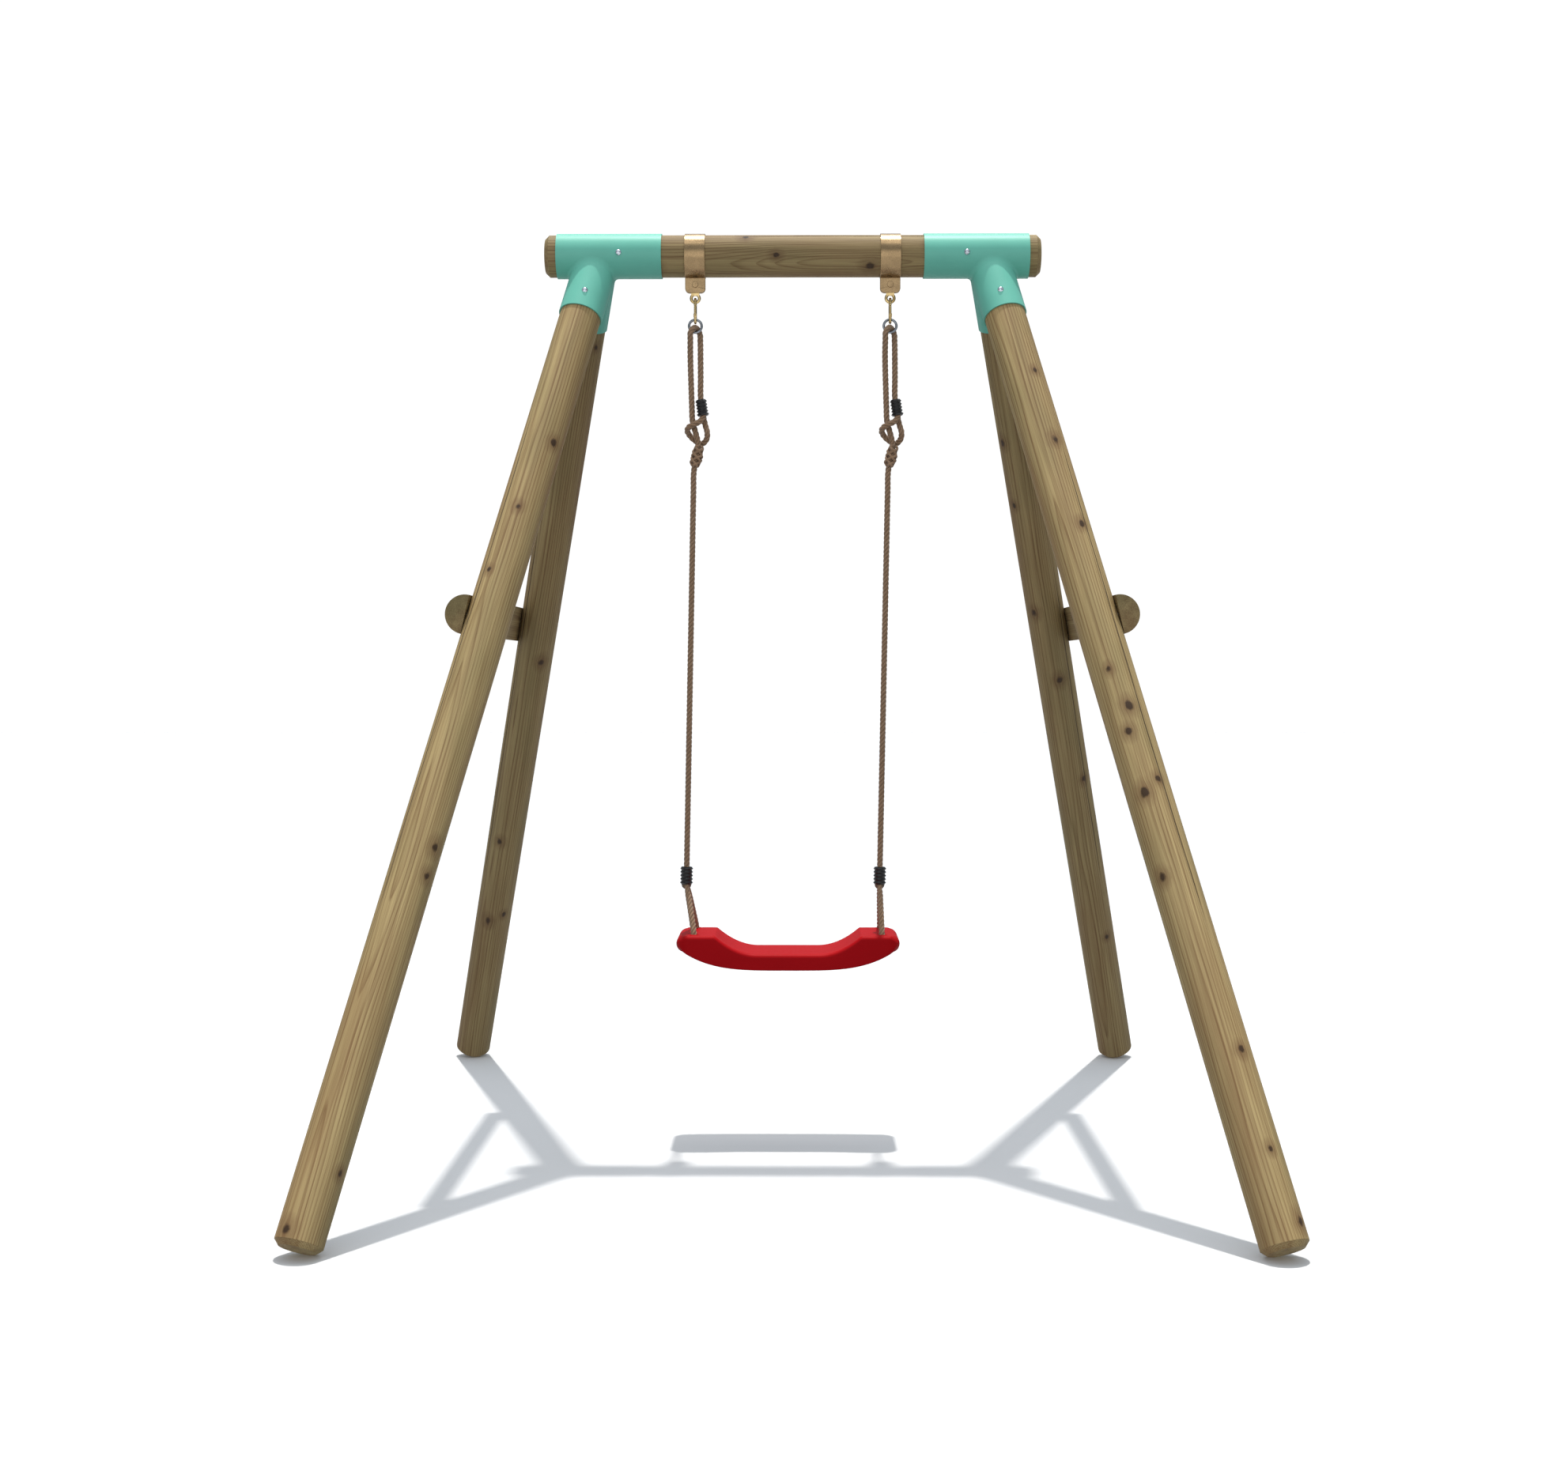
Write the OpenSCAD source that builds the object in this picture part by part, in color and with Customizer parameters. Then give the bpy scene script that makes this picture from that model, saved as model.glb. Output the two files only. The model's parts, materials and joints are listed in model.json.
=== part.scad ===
// Garden swing: two splayed pairs of round timber legs and a round beam joined by
// three-way steel brackets, with one rope-hung moulded seat.
// Millimetres. +X runs along the beam, +Z up, origin on the ground under the beam's middle.

/* [Timber frame] */
// Length of the round beam
beam_length = 975; // [900:5:1400]
// Diameter of the round beam
beam_d = 82; // [76:1:96]
// Diameter of the four round legs
leg_d = 80; // [70:1:90]
// Leg length from the crossing point under the beam to the foot face
leg_length = 1994; // [1600:2:2400]
// Distance from the beam's middle to where a pair of legs crosses the beam
leg_cross_x = 385.5; // [380:0.5:520]
// How far each leg's axis passes behind the beam's axis
leg_cross_offset = 13; // [4:1:18]
// Sideways splay of each pair of legs, degrees
leg_splay = 12.8; // [8:0.1:16]
// Fore and aft lean of each leg within its pair, degrees
leg_lean = 26.9; // [22:0.1:30]
// Chamfer round the foot of a leg
foot_chamfer = 9; // [4:1:14]
// Chamfer round the ends of the beam
beam_chamfer = 8; // [3:1:14]

/* [Brackets] */
// Wall of the bracket's tubes
sleeve_wall = 2.5; // [2:0.5:5]
// Radial clearance of the timber in the tubes
timber_clear = 0.3; // [0.2:0.1:1]
// Inner end of the beam tube, from the beam's middle
beam_tube_in = 258; // [240:1:270]
// Outer end of the beam tube, from the beam's middle
beam_tube_out = 464.5; // [455:0.5:472]
// Length of a leg tube from the crossing point
leg_tube_reach = 147; // [130:1:200]
// Distance from the crossing point to the top of the leg's timber
leg_top_drop = 68; // [64:1:80]
// Thickness of the plate between the two legs of a pair
web_t = 2.5; // [2:0.5:5]
// Shank diameter of the bracket screws
bracket_screw_d = 6; // [4:0.5:8]
// Length of the bracket screws' shanks
bracket_screw_length = 34; // [25:1:50]
// Head diameter of the bracket screws
bracket_screw_head = 12; // [9:0.5:16]
// Distance of the beam screws from the beam's middle
beam_screw_x = 341; // [300:1:345]
// Distance of the leg screws from the crossing point
leg_screw_drop = 112; // [100:1:135]

/* [Cross braces] */
// Diameter of the round timber that the half-round braces are sawn from
brace_d = 72; // [60:1:90]
// Length of a brace
brace_length = 780; // [770:5:1000]
// Distance of the braces below the beam, measured along the splay
brace_drop = 745; // [600:5:780]
// Shank diameter of the brace screws
brace_screw_d = 8; // [6:1:10]
// Length of the brace screws' shanks
brace_screw_length = 70; // [50:1:90]
// Depth of the pocket that hides a brace screw's head
brace_pocket_depth = 14; // [8:1:18]

/* [Hangers] */
// Distance from the beam's middle to each hanger
hanger_x = 192.5; // [150:0.5:225]
// Width of the strap round the beam
strap_width = 40; // [25:1:50]
// Thickness of the strap
strap_t = 2.5; // [2:0.5:4]
// Distance from the beam's axis to the lower end of the strap's ears
ear_drop = 72; // [66:1:76]
// Distance from the beam's axis to the strap bolt
strap_bolt_drop = 56; // [54:1:60]
// Diameter of the strap bolt
strap_bolt_d = 6; // [5:1:8]
// Distance from the beam's axis to the middle of the eye
eye_drop = 82.5; // [81:0.5:90]
// Wire diameter of the eye
eye_wire_d = 6; // [5:0.5:7]
// Inner diameter of the eye
eye_inner_d = 10; // [9:0.5:14]
// Width of the eye's flat shank
eye_shank_width = 16; // [14:1:20]
// Wire diameter of the snap hook
hook_wire_d = 5.5; // [4.5:0.1:6]
// Clear gap between the hook's bends and what hangs in them
hook_play = 0.8; // [0.5:0.1:1.2]
// Distance between the centres of the hook's two bends
hook_span = 34; // [32:0.5:60]
// Half the width of the hook's middle, to the wire's axis
hook_half_width = 9; // [8:0.5:12]
// Length of the hook's sprung gate
gate_length = 18; // [15:0.5:20]
// Wire diameter of the rope ring
ring_wire_d = 5; // [4:0.5:6]
// Mean diameter of the rope ring
ring_d = 25; // [24.5:0.5:32]

/* [Ropes and sleeves] */
// Diameter of the rope
rope_d = 12; // [10:0.5:12]
// Sideways lean of the hanging ropes at rest, degrees
hang_lean = 1.1; // [0:0.1:2]
// Outer diameter of the upper crimp sleeves
upper_sleeve_d = 22.5; // [21:0.5:26]
// Length of the upper crimp sleeves
upper_sleeve_length = 32; // [24:1:36]
// Outer diameter of the lower crimp sleeves
lower_sleeve_d = 25.5; // [24:0.5:32]
// Length of the lower crimp sleeves
lower_sleeve_length = 35; // [30:1:42]
// Depth of the grooves round the crimp sleeves
sleeve_groove = 1.2; // [0.5:0.1:1.6]
// Number of raised rings on a crimp sleeve
sleeve_rings = 5; // [3:1:6]
// Radial clearance of the rope in sleeves, knots and holes
rope_clear = 0.3; // [0.2:0.1:1]

/* [Seat] */
// Width of the seat, along the beam
seat_width = 440; // [400:5:520]
// Depth of the seat, front to back
seat_depth = 156; // [140:2:200]
// Height of the raised rope pads above the ground
seat_pad_z = 411; // [380:1:415]
// Height of the rope pads above the middle of the sitting surface
seat_dish = 36; // [20:1:45]
// Depth of the seat's skirt in the middle
seat_skirt = 32; // [26:1:40]
// Depth of the seat's rounded ends
seat_end_depth = 34; // [30:1:40]
// Wall thickness of the seat
seat_wall = 4; // [3:0.5:5]
// Corner radius of the seat seen from above
seat_corner_r = 24; // [16:1:34]
// Sideways distance between the rope holes
seat_hole_spacing = 370; // [350:2:380]
// Front to back distance between the rope holes
seat_hole_depth = 112; // [90:2:116]
// Sideways place of the seat's middle at rest
seat_shift = -9; // [-12:0.5:0]

/* [Hidden] */
$fn = 64;
BIG = 400;              // larger than any local cut
LEFT = -1;
RIGHT = 1;
FRONT = -1;
REAR = 1;
joint_bulge = 0.05;     // keeps a joint's ball from lying exactly in the bar's surface

// Frame
leg_drop_ratio = cos(leg_lean) * cos(leg_splay);
foot_face_r = leg_d / 2 - foot_chamfer;
beam_z = leg_length * leg_drop_ratio + foot_face_r * sqrt(1 - pow(leg_drop_ratio, 2));
beam_bore_r = beam_d / 2 + timber_clear;
beam_tube_r = beam_bore_r + sleeve_wall;
leg_bore_r = leg_d / 2 + timber_clear;
leg_tube_r = leg_bore_r + sleeve_wall;
leg_bore_top = leg_top_drop - 2;            // the timber stops 2 mm short of the blind end
screw_head_h = bracket_screw_head * 0.32;   // shallow dome
brace_seat_gap = 0.1;
brace_screw_out = leg_d / 2 + brace_seat_gap + brace_d / 2 - brace_pocket_depth;
brace_head_h = 5.5;
brace_leg_y = brace_drop * tan(leg_lean) - leg_cross_offset;

// Hangers, as drops below the beam's axis or heights above the ground
strap_in_r = beam_d / 2 + timber_clear;
strap_out_r = strap_in_r + strap_t;
ear_in_y = eye_wire_d / 2 + 0.1;
ear_out_y = ear_in_y + strap_t;
eye_mean_r = (eye_inner_d + eye_wire_d) / 2;
bolt_head_h = 3.5;
nut_h = 5;
swing_z = beam_z - eye_drop - eye_mean_r;   // the eye's lowest wire, which the hook rocks on
top_bend_r = eye_wire_d / 2 + hook_wire_d / 2 + hook_play;
low_bend_r = ring_wire_d / 2 + hook_wire_d / 2 + hook_play;
ring_top_z = swing_z - hook_span;
ring_z = ring_top_z - ring_d / 2;
gate_top_z = swing_z - 8.5;
gate_pin_z = gate_top_z - gate_length;
gate_pin_r = 1;
gate_cheek_r = 3.2;
gate_blade_t = 2.6;
gate_slot = gate_blade_t + 0.3;

// Ropes: route of one rope in its own plumb frame, origin at the ring's centre.
// It starts in the lower sleeve, goes up through the knot, round the ring, down through
// the upper sleeve and once round itself, and ends back in the upper sleeve.
rope_x = 2;
rope_end_drop = 1084;
lower_sleeve_top_drop = 1071;
upper_sleeve_top = [13.5, 0, -145];
upper_sleeve_tilt = 9.2;
sleeve_strand_y = rope_d / 2 + 0.4;
rope_route = [
    [rope_x, 0, -rope_end_drop], [rope_x, 0, -1040], [rope_x, 0, -980], [rope_x, 0, -900],
    [rope_x, 0, -800], [rope_x, 0, -700], [rope_x, 0, -600], [rope_x, 0, -500],
    [rope_x, 0, -400], [rope_x, 0, -320], [rope_x, 0, -290], [4, 0, -272], [8, 0, -256],
    [10, 0, -240], [8, 0, -224], [3, 0, -206], [-2, 0, -188], [-4, 0, -160],
    [-6, 0, -120], [-8, 0, -80], [-9, -3, -48], [-9, -8, -28], [-8.6, -10.2, -13.5],
    [-4, -6.6, -5.4], [0, 0, -2.9], [4, 6.6, -5.4], [8.6, 10.2, -13.5], [10, 9, -30],
    [11, 7, -60], [12, 6.6, -100], [13, 6.4, -142], [18.8, 6.4, -178], [23, 6, -194],
    [27, 3, -208], [26, 7, -221], [17, 12, -230], [3, 14, -224], [-9, 11, -213],
    [-12.4, 0, -206], [-8, -12, -200], [3, -13, -194], [13.5, -9.5, -188], [18.9, -6.4, -178.5],
    [15.9, -6.4, -160]];
rope_sides = 10;
knot_mid = [8, 0, -256];
knot_tilt = 12;
knot_ring_r = 2.7;
knot_rings = 4;
knot_clear = 1.6;

// Seat
loop_play = 0.4;
loop_ball_r = lower_sleeve_d / 2 - 2.6 - loop_play;
loop_bundle_gap = 0.3;
loop_strand_y = 2.5;
loop_ball_low = 1.2;        // the ball's centre below the sleeve's lower end
loop_ball_drop = lower_sleeve_top_drop + lower_sleeve_length + loop_ball_low;
sleeve_flare = 1.8;         // widens the sleeve's mouth, so that the loop can swing in it
seat_mid_z = seat_pad_z - seat_dish;
seat_low_z = seat_mid_z - seat_skirt;
seat_end_r = seat_end_depth / 2;
seat_pad_out = seat_width / 2 - seat_end_r;
seat_pad_in = 144;
seat_flat_x = 60;
seat_steps = 12;
hole_r = rope_d / 2 + 0.7;

// ---------- shared shapes ----------

// Round bar along a list of points, with a very slightly larger ball at each joint.
module bar_chain(points, r, first = 1, last = 1) {
    for (i = [0:len(points) - 2]) bar(points[i], points[i + 1], r);
    for (i = [first:len(points) - 1 - last]) translate(points[i]) sphere(r = r + joint_bulge);
}

// Round bar between two points.
module bar(a, b, r) {
    v = b - a;
    translate(a)
        rotate([0, acos(v[2] / norm(v)), atan2(v[1], v[0])])
            cylinder(h = norm(v), r = r);
}

function unit(v) = v / norm(v);
function heading(points, i) =
    unit(points[min(i + 1, len(points) - 1)] - points[max(i - 1, 0)]);

// Closed tube swept along points: one ring of corners at each point, square to the heading.
module swept_tube(points, r, sides, aside) {
    count = len(points);
    corners = [for (i = [0:count - 1])
        let (t = heading(points, i), u = unit(cross(aside, t)), w = cross(t, u))
            for (k = [0:sides - 1])
                points[i] + r * (cos(360 * k / sides) * u + sin(360 * k / sides) * w)];
    walls = [for (i = [0:count - 2], k = [0:sides - 1])
        let (k2 = (k + 1) % sides)
            [i * sides + k, (i + 1) * sides + k, (i + 1) * sides + k2, i * sides + k2]];
    first_cap = [for (k = [0:sides - 1]) k];
    last_cap = [for (k = [sides - 1:-1:0]) (count - 1) * sides + k];
    polyhedron(points = corners, faces = concat(walls, [first_cap, last_cap]));
}

// Places a shape on a leg's axis: local -Z runs down the leg from the crossing point.
module on_leg(side, end) {
    translate([side * leg_cross_x, -end * leg_cross_offset, beam_z])
        rotate([0, -side * leg_splay, 0])
            rotate([end * leg_lean, 0, 0])
                children();
}

// Places a shape in the plane of a pair of legs, at beam height.
module on_splay(side) {
    translate([side * leg_cross_x, 0, beam_z])
        rotate([0, -side * leg_splay, 0])
            children();
}

// Places a shape in a hanging rope's frame, at the ring's centre.
module on_rope(side) {
    translate([side * hanger_x, 0, ring_z])
        rotate([0, hang_lean, 0])
            children();
}

// Keeps the half of a shape that lies in front of, or behind, the plane between a pair of legs.
module half_block(side, end, gap) {
    translate([side * leg_cross_x, end * (gap + BIG / 2), beam_z])
        cube([2 * BIG, BIG, 2 * BIG], center = true);
}

// ---------- timber ----------

module crossbeam() {
    half = beam_length / 2;
    r = beam_d / 2;
    color("burlywood")
        difference() {
            translate([0, 0, beam_z]) rotate([0, 90, 0]) translate([0, 0, -half])
                rotate_extrude()
                    polygon([[0, 0], [r - beam_chamfer, 0], [r, beam_chamfer],
                        [r, beam_length - beam_chamfer], [r - beam_chamfer, beam_length],
                        [0, beam_length]]);
            for (side = [LEFT, RIGHT], end = [FRONT, REAR]) beam_screw_shank(side, end);
        }
}

module leg(side, end) {
    color("tan")
        difference() {
            intersection() {
                on_leg(side, end)
                    translate([0, 0, -leg_length])
                        rotate_extrude()
                            polygon([[0, 0], [foot_face_r, 0], [leg_d / 2, foot_chamfer],
                                [leg_d / 2, leg_length - leg_top_drop],
                                [0, leg_length - leg_top_drop]]);
                leg_side_of_web(side, end, web_t / 2 + timber_clear);
            }
            leg_screw_shank(side, end);
            brace_screw_shank(side, end);
        }
}

// Everything on one leg's side of the plate between the pair.
module leg_side_of_web(side, end, gap) {
    translate([side * leg_cross_x, end * (gap + leg_length / 2), beam_z - leg_length / 2])
        cube([2 * leg_length, leg_length, 2 * leg_length], center = true);
}

module cross_brace(side) {
    color("peru")
        difference() {
            on_splay(side)
                translate([side * (leg_d / 2 + brace_seat_gap), 0, -brace_drop])
                    rotate([90, 0, 0])
                        linear_extrude(height = brace_length, center = true)
                            difference() {
                                circle(d = brace_d);
                                translate([-side * brace_d / 2, 0])
                                    square([brace_d, brace_d + 2], center = true);
                            }
            for (end = [FRONT, REAR]) {
                brace_screw_shank(side, end);
                on_brace_screw(side, end)
                    translate([0, 0, brace_screw_out])
                        cylinder(h = brace_d, d = 2.4 * brace_screw_d);
            }
        }
}

// ---------- brackets and their screws ----------

module bracket(side) {
    tube_mid = (beam_tube_in + beam_tube_out) / 2;
    tube_len = beam_tube_out - beam_tube_in;
    color("mediumaquamarine")
        difference() {
            union() {
                translate([side * tube_mid, 0, beam_z]) rotate([0, 90, 0])
                    cylinder(h = tube_len, r = beam_tube_r, center = true);
                for (end = [FRONT, REAR])
                    intersection() {
                        on_leg(side, end)
                            translate([0, 0, -leg_tube_reach])
                                cylinder(h = leg_tube_reach, r = leg_tube_r);
                        half_block(side, end, 0);
                    }
            }
            translate([side * tube_mid, 0, beam_z]) rotate([0, 90, 0])
                cylinder(h = 2 * tube_len, r = beam_bore_r, center = true);
            for (end = [FRONT, REAR]) {
                intersection() {
                    on_leg(side, end)
                        translate([0, 0, -2 * leg_tube_reach])
                            cylinder(h = 2 * leg_tube_reach - leg_bore_top, r = leg_bore_r);
                    half_block(side, end, web_t / 2);
                }
                beam_screw_shank(side, end);
                leg_screw_shank(side, end);
            }
        }
}

// A beam screw's frame: origin on the beam's axis, +Z out through the tube's wall.
module on_beam_screw(side, end) {
    translate([side * beam_screw_x, 0, beam_z])
        rotate([-end * 90, 0, 0])
            children();
}

// A leg screw's frame: origin on the leg's axis, +Z out through the tube's outer wall.
module on_leg_screw(side, end) {
    on_leg(side, end)
        translate([0, 0, -leg_screw_drop])
            rotate([-end * 90, 0, 0])
                children();
}

module beam_screw_shank(side, end) {
    on_beam_screw(side, end) bracket_shank(beam_tube_r);
}

module leg_screw_shank(side, end) {
    on_leg_screw(side, end) bracket_shank(leg_tube_r);
}

module bracket_shank(out_r) {
    translate([0, 0, out_r - bracket_screw_length])
        cylinder(h = bracket_screw_length, d = bracket_screw_d);
}

// Domed screw: the head is a slice of a ball, seated just clear of the round tube.
module bracket_screw(out_r) {
    head_r = bracket_screw_head / 2;
    ball_r = (pow(head_r, 2) + pow(screw_head_h, 2)) / (2 * screw_head_h);
    bracket_shank(out_r);
    translate([0, 0, out_r - 0.01]) intersection() {
        cylinder(h = screw_head_h, r = head_r);
        translate([0, 0, screw_head_h - ball_r]) sphere(r = ball_r);
    }
}

module bracket_screws(side) {
    color("silver")
        for (end = [FRONT, REAR]) {
            on_beam_screw(side, end) bracket_screw(beam_tube_r);
            on_leg_screw(side, end) bracket_screw(leg_tube_r);
        }
}

// A brace screw's frame: origin on the leg's axis, +Z outwards square to the pair of legs.
module on_brace_screw(side, end) {
    on_splay(side)
        translate([0, end * brace_leg_y, -brace_drop])
            rotate([0, side * 90, 0])
                children();
}

module brace_screw_shank(side, end) {
    on_brace_screw(side, end)
        translate([0, 0, brace_screw_out - brace_screw_length])
            cylinder(h = brace_screw_length, d = brace_screw_d);
}

module brace_screws(side) {
    color("silver")
        for (end = [FRONT, REAR]) {
            brace_screw_shank(side, end);
            on_brace_screw(side, end)
                translate([0, 0, brace_screw_out])
                    cylinder(h = brace_head_h, d = 1.85 * brace_screw_d, $fn = 6);
        }
}

// ---------- hangers ----------

module strap(side) {
    color("goldenrod")
        translate([side * hanger_x, 0, beam_z])
            difference() {
                intersection() {
                    rotate([90, 0, 90])
                        linear_extrude(height = strap_width, center = true) strap_profile();
                    rotate([90, 0, 0])
                        linear_extrude(height = BIG, center = true) strap_outline();
                }
                rotate([90, 0, 0])
                    translate([0, -strap_bolt_drop, 0])
                        cylinder(h = BIG, d = strap_bolt_d, center = true);
            }
}

// Band round the beam with two flat ears below, seen along the beam.
module strap_profile() {
    difference() {
        circle(r = strap_out_r);
        circle(r = strap_in_r);
        translate([0, -strap_in_r]) square([2 * ear_in_y, 2 * strap_in_r], center = true);
    }
    for (s = [-1, 1])
        translate([s * (ear_in_y + ear_out_y) / 2, -(strap_in_r + ear_drop) / 2])
            square([strap_t, ear_drop - strap_in_r + 0.6], center = true);
}

// Front view of the strap, which rounds the ears' lower corners.
module strap_outline() {
    corner_r = 9;
    half = strap_width / 2;
    translate([-half, -ear_drop + corner_r])
        square([strap_width, ear_drop + strap_out_r]);
    translate([-half + corner_r, -ear_drop]) square([strap_width - 2 * corner_r, corner_r + 1]);
    for (s = [-1, 1])
        translate([s * (half - corner_r), -ear_drop + corner_r]) circle(r = corner_r);
}

module on_strap_bolt(side) {
    translate([side * hanger_x, 0, beam_z - strap_bolt_drop])
        rotate([90, 0, 0])
            children();
}

module strap_bolt(side) {
    color("silver")
        on_strap_bolt(side) {
            translate([0, 0, -ear_out_y - nut_h - 2])
                cylinder(h = 2 * ear_out_y + nut_h + 2, d = strap_bolt_d);
            translate([0, 0, ear_out_y]) cylinder(h = bolt_head_h, d = 2 * strap_bolt_d);
        }
}

module strap_nut(side) {
    color("silver")
        on_strap_bolt(side)
            translate([0, 0, -ear_out_y - nut_h])
                difference() {
                    cylinder(h = nut_h, d = 1.9 * strap_bolt_d, $fn = 6);
                    translate([0, 0, -1]) cylinder(h = nut_h + 2, d = strap_bolt_d);
                }
}

module eye(side) {
    shank_top = strap_in_r + 2.5;
    color("gold")
        translate([side * hanger_x, 0, beam_z]) rotate([90, 0, 0])
            difference() {
                union() {
                    translate([0, -eye_drop, 0])
                        rotate_extrude() translate([eye_mean_r, 0]) circle(d = eye_wire_d);
                    translate([0, -(shank_top + eye_drop - eye_inner_d / 2) / 2, 0])
                        cube([eye_shank_width, eye_drop - eye_inner_d / 2 - shank_top,
                            eye_wire_d], center = true);
                }
                translate([0, -eye_drop, 0])
                    cylinder(h = 2 * eye_wire_d, d = eye_inner_d, center = true);
                translate([0, -strap_bolt_drop, 0])
                    cylinder(h = 2 * eye_wire_d, d = strap_bolt_d, center = true);
            }
}

// Half ring of wire in the Y-Z plane; turn is the direction that its crown points.
module wire_bend(r, wire_d, turn) {
    rotate([turn, 0, 0]) rotate([90, 0, 90])
        rotate_extrude(angle = 180) translate([r, 0]) circle(d = wire_d);
}

module hook(side) {
    wire_r = hook_wire_d / 2;
    shoulder = 7;
    color("gold")
        translate([side * hanger_x, 0, 0]) {
            translate([0, 0, swing_z]) wire_bend(top_bend_r, hook_wire_d, 0);
            translate([0, 0, ring_top_z]) wire_bend(low_bend_r, hook_wire_d, 180);
            bar_chain([[0, top_bend_r, swing_z], [0, hook_half_width, swing_z - shoulder],
                [0, hook_half_width, ring_top_z + shoulder], [0, low_bend_r, ring_top_z]],
                wire_r, first = 0, last = 0);
            bar_chain([[0, -top_bend_r, swing_z], [0, -hook_half_width, gate_top_z + 0.4]],
                wire_r, first = 0);
            difference() {
                union() {
                    bar_chain([[0, -low_bend_r, ring_top_z], [0, -hook_half_width, gate_pin_z]],
                        wire_r, first = 0);
                    translate([0, -hook_half_width, gate_pin_z]) rotate([0, 90, 0])
                        cylinder(h = hook_wire_d + 1, r = gate_cheek_r, center = true);
                }
                translate([-gate_slot / 2, -hook_half_width - 2 * gate_cheek_r,
                    gate_pin_z - gate_cheek_r - 0.4])
                    cube([gate_slot, 4 * gate_cheek_r, 3 * gate_cheek_r]);
                gate_pin(side, false);
            }
        }
}

// The pin's own place is on the hook's gate side; placed is false inside a hanger's frame.
module gate_pin(side, placed = true) {
    translate([placed ? side * hanger_x : 0, -hook_half_width, gate_pin_z]) rotate([0, 90, 0])
        cylinder(h = hook_wire_d + 1, r = gate_pin_r, center = true);
}

module gate(side) {
    barrel_bottom = gate_pin_z + gate_cheek_r + 0.6;
    color("lightyellow")
        translate([side * hanger_x, -hook_half_width, 0])
            difference() {
                union() {
                    translate([0, 0, barrel_bottom])
                        cylinder(h = gate_top_z - 0.3 - barrel_bottom, d = hook_wire_d - 0.7);
                    translate([0, 0, gate_pin_z]) rotate([0, 90, 0])
                        cylinder(h = gate_blade_t, r = 2.4, center = true);
                    translate([-gate_blade_t / 2, -1.8, gate_pin_z])
                        cube([gate_blade_t, 3.6, gate_cheek_r + 1]);
                }
                translate([0, 0, gate_pin_z]) rotate([0, 90, 0])
                    cylinder(h = BIG, r = gate_pin_r + 0.05, center = true);
            }
}

module ring(side) {
    color("gainsboro")
        on_rope(side) rotate([90, 0, 0])
            rotate_extrude() translate([ring_d / 2, 0]) circle(d = ring_wire_d);
}

// ---------- ropes and what is crimped on them ----------

module rope(side) {
    color("wheat")
        on_rope(side) swept_tube(rope_route, rope_d / 2, rope_sides, [0, 1, 0]);
}

// Knot: a stack of rounded turns round the rope, with the rope's way through it.
module knot(side) {
    pitch = 8.5;
    color("wheat")
        on_rope(side) translate(knot_mid) rotate([0, knot_tilt, 0])
            difference() {
                for (i = [0:knot_rings - 1])
                    translate([0, 0, (i - (knot_rings - 1) / 2) * pitch])
                        rotate_extrude()
                            translate([rope_d / 2 + knot_ring_r, 0]) circle(r = pitch / 2 + 0.2);
                cylinder(h = BIG, r = rope_d / 2 + knot_clear, center = true);
            }
}

// Ribbed crimp sleeve with its top at z = 0: raised rings with grooves between them.
module ribbed_sleeve(outer_d, length, groove, rings) {
    pitch = length / (2 * rings - 1);
    rotate_extrude() {
        translate([0, -length]) square([outer_d / 2 - groove, length]);
        for (i = [0:rings - 1])
            translate([0, -length + 2 * i * pitch]) square([outer_d / 2, pitch]);
    }
}

module upper_sleeve(side) {
    bore_r = rope_d / 2 + rope_clear;
    color("#2b2b2b")
        on_rope(side) translate(upper_sleeve_top) rotate([0, -upper_sleeve_tilt, 0])
            difference() {
                for (s = [-1, 1]) translate([0, s * sleeve_strand_y / 2, 0])
                    ribbed_sleeve(upper_sleeve_d, upper_sleeve_length, sleeve_groove,
                        sleeve_rings);
                for (s = [-1, 1]) translate([0, s * sleeve_strand_y, 0])
                    cylinder(h = BIG, r = bore_r, center = true);
            }
}

module lower_sleeve(side) {
    color("#2b2b2b")
        on_rope(side) translate([rope_x, 0, -lower_sleeve_top_drop])
            difference() {
                ribbed_sleeve(lower_sleeve_d, lower_sleeve_length, sleeve_groove, sleeve_rings);
                translate([0, 0, -lower_sleeve_length / 2])
                    cylinder(h = lower_sleeve_length, r = rope_d / 2 + rope_clear);
                translate([0, 0, lower_sleeve_top_drop - loop_ball_drop])
                    sphere(r = loop_ball_r + loop_play);
                translate([0, 0, lower_sleeve_top_drop - loop_ball_drop - BIG])
                    cylinder(h = BIG, r = loop_ball_r + loop_play);
                translate([0, 0, -lower_sleeve_length - 0.5])
                    cylinder(h = 2.2, r1 = loop_ball_r + loop_play + sleeve_flare,
                        r2 = loop_ball_r + loop_play);
            }
}

// Where a seat loop turns in its lower sleeve.
function loop_pivot(side) = [
    side * hanger_x + rope_x * cos(hang_lean) - loop_ball_drop * sin(hang_lean), 0,
    ring_z - rope_x * sin(hang_lean) - loop_ball_drop * cos(hang_lean)];

// Ball of crimped rope ends inside the lower sleeve, on which the seat's loop turns.
module loop_bundle(side) {
    color("wheat") translate(loop_pivot(side)) sphere(r = loop_ball_r);
}

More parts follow.
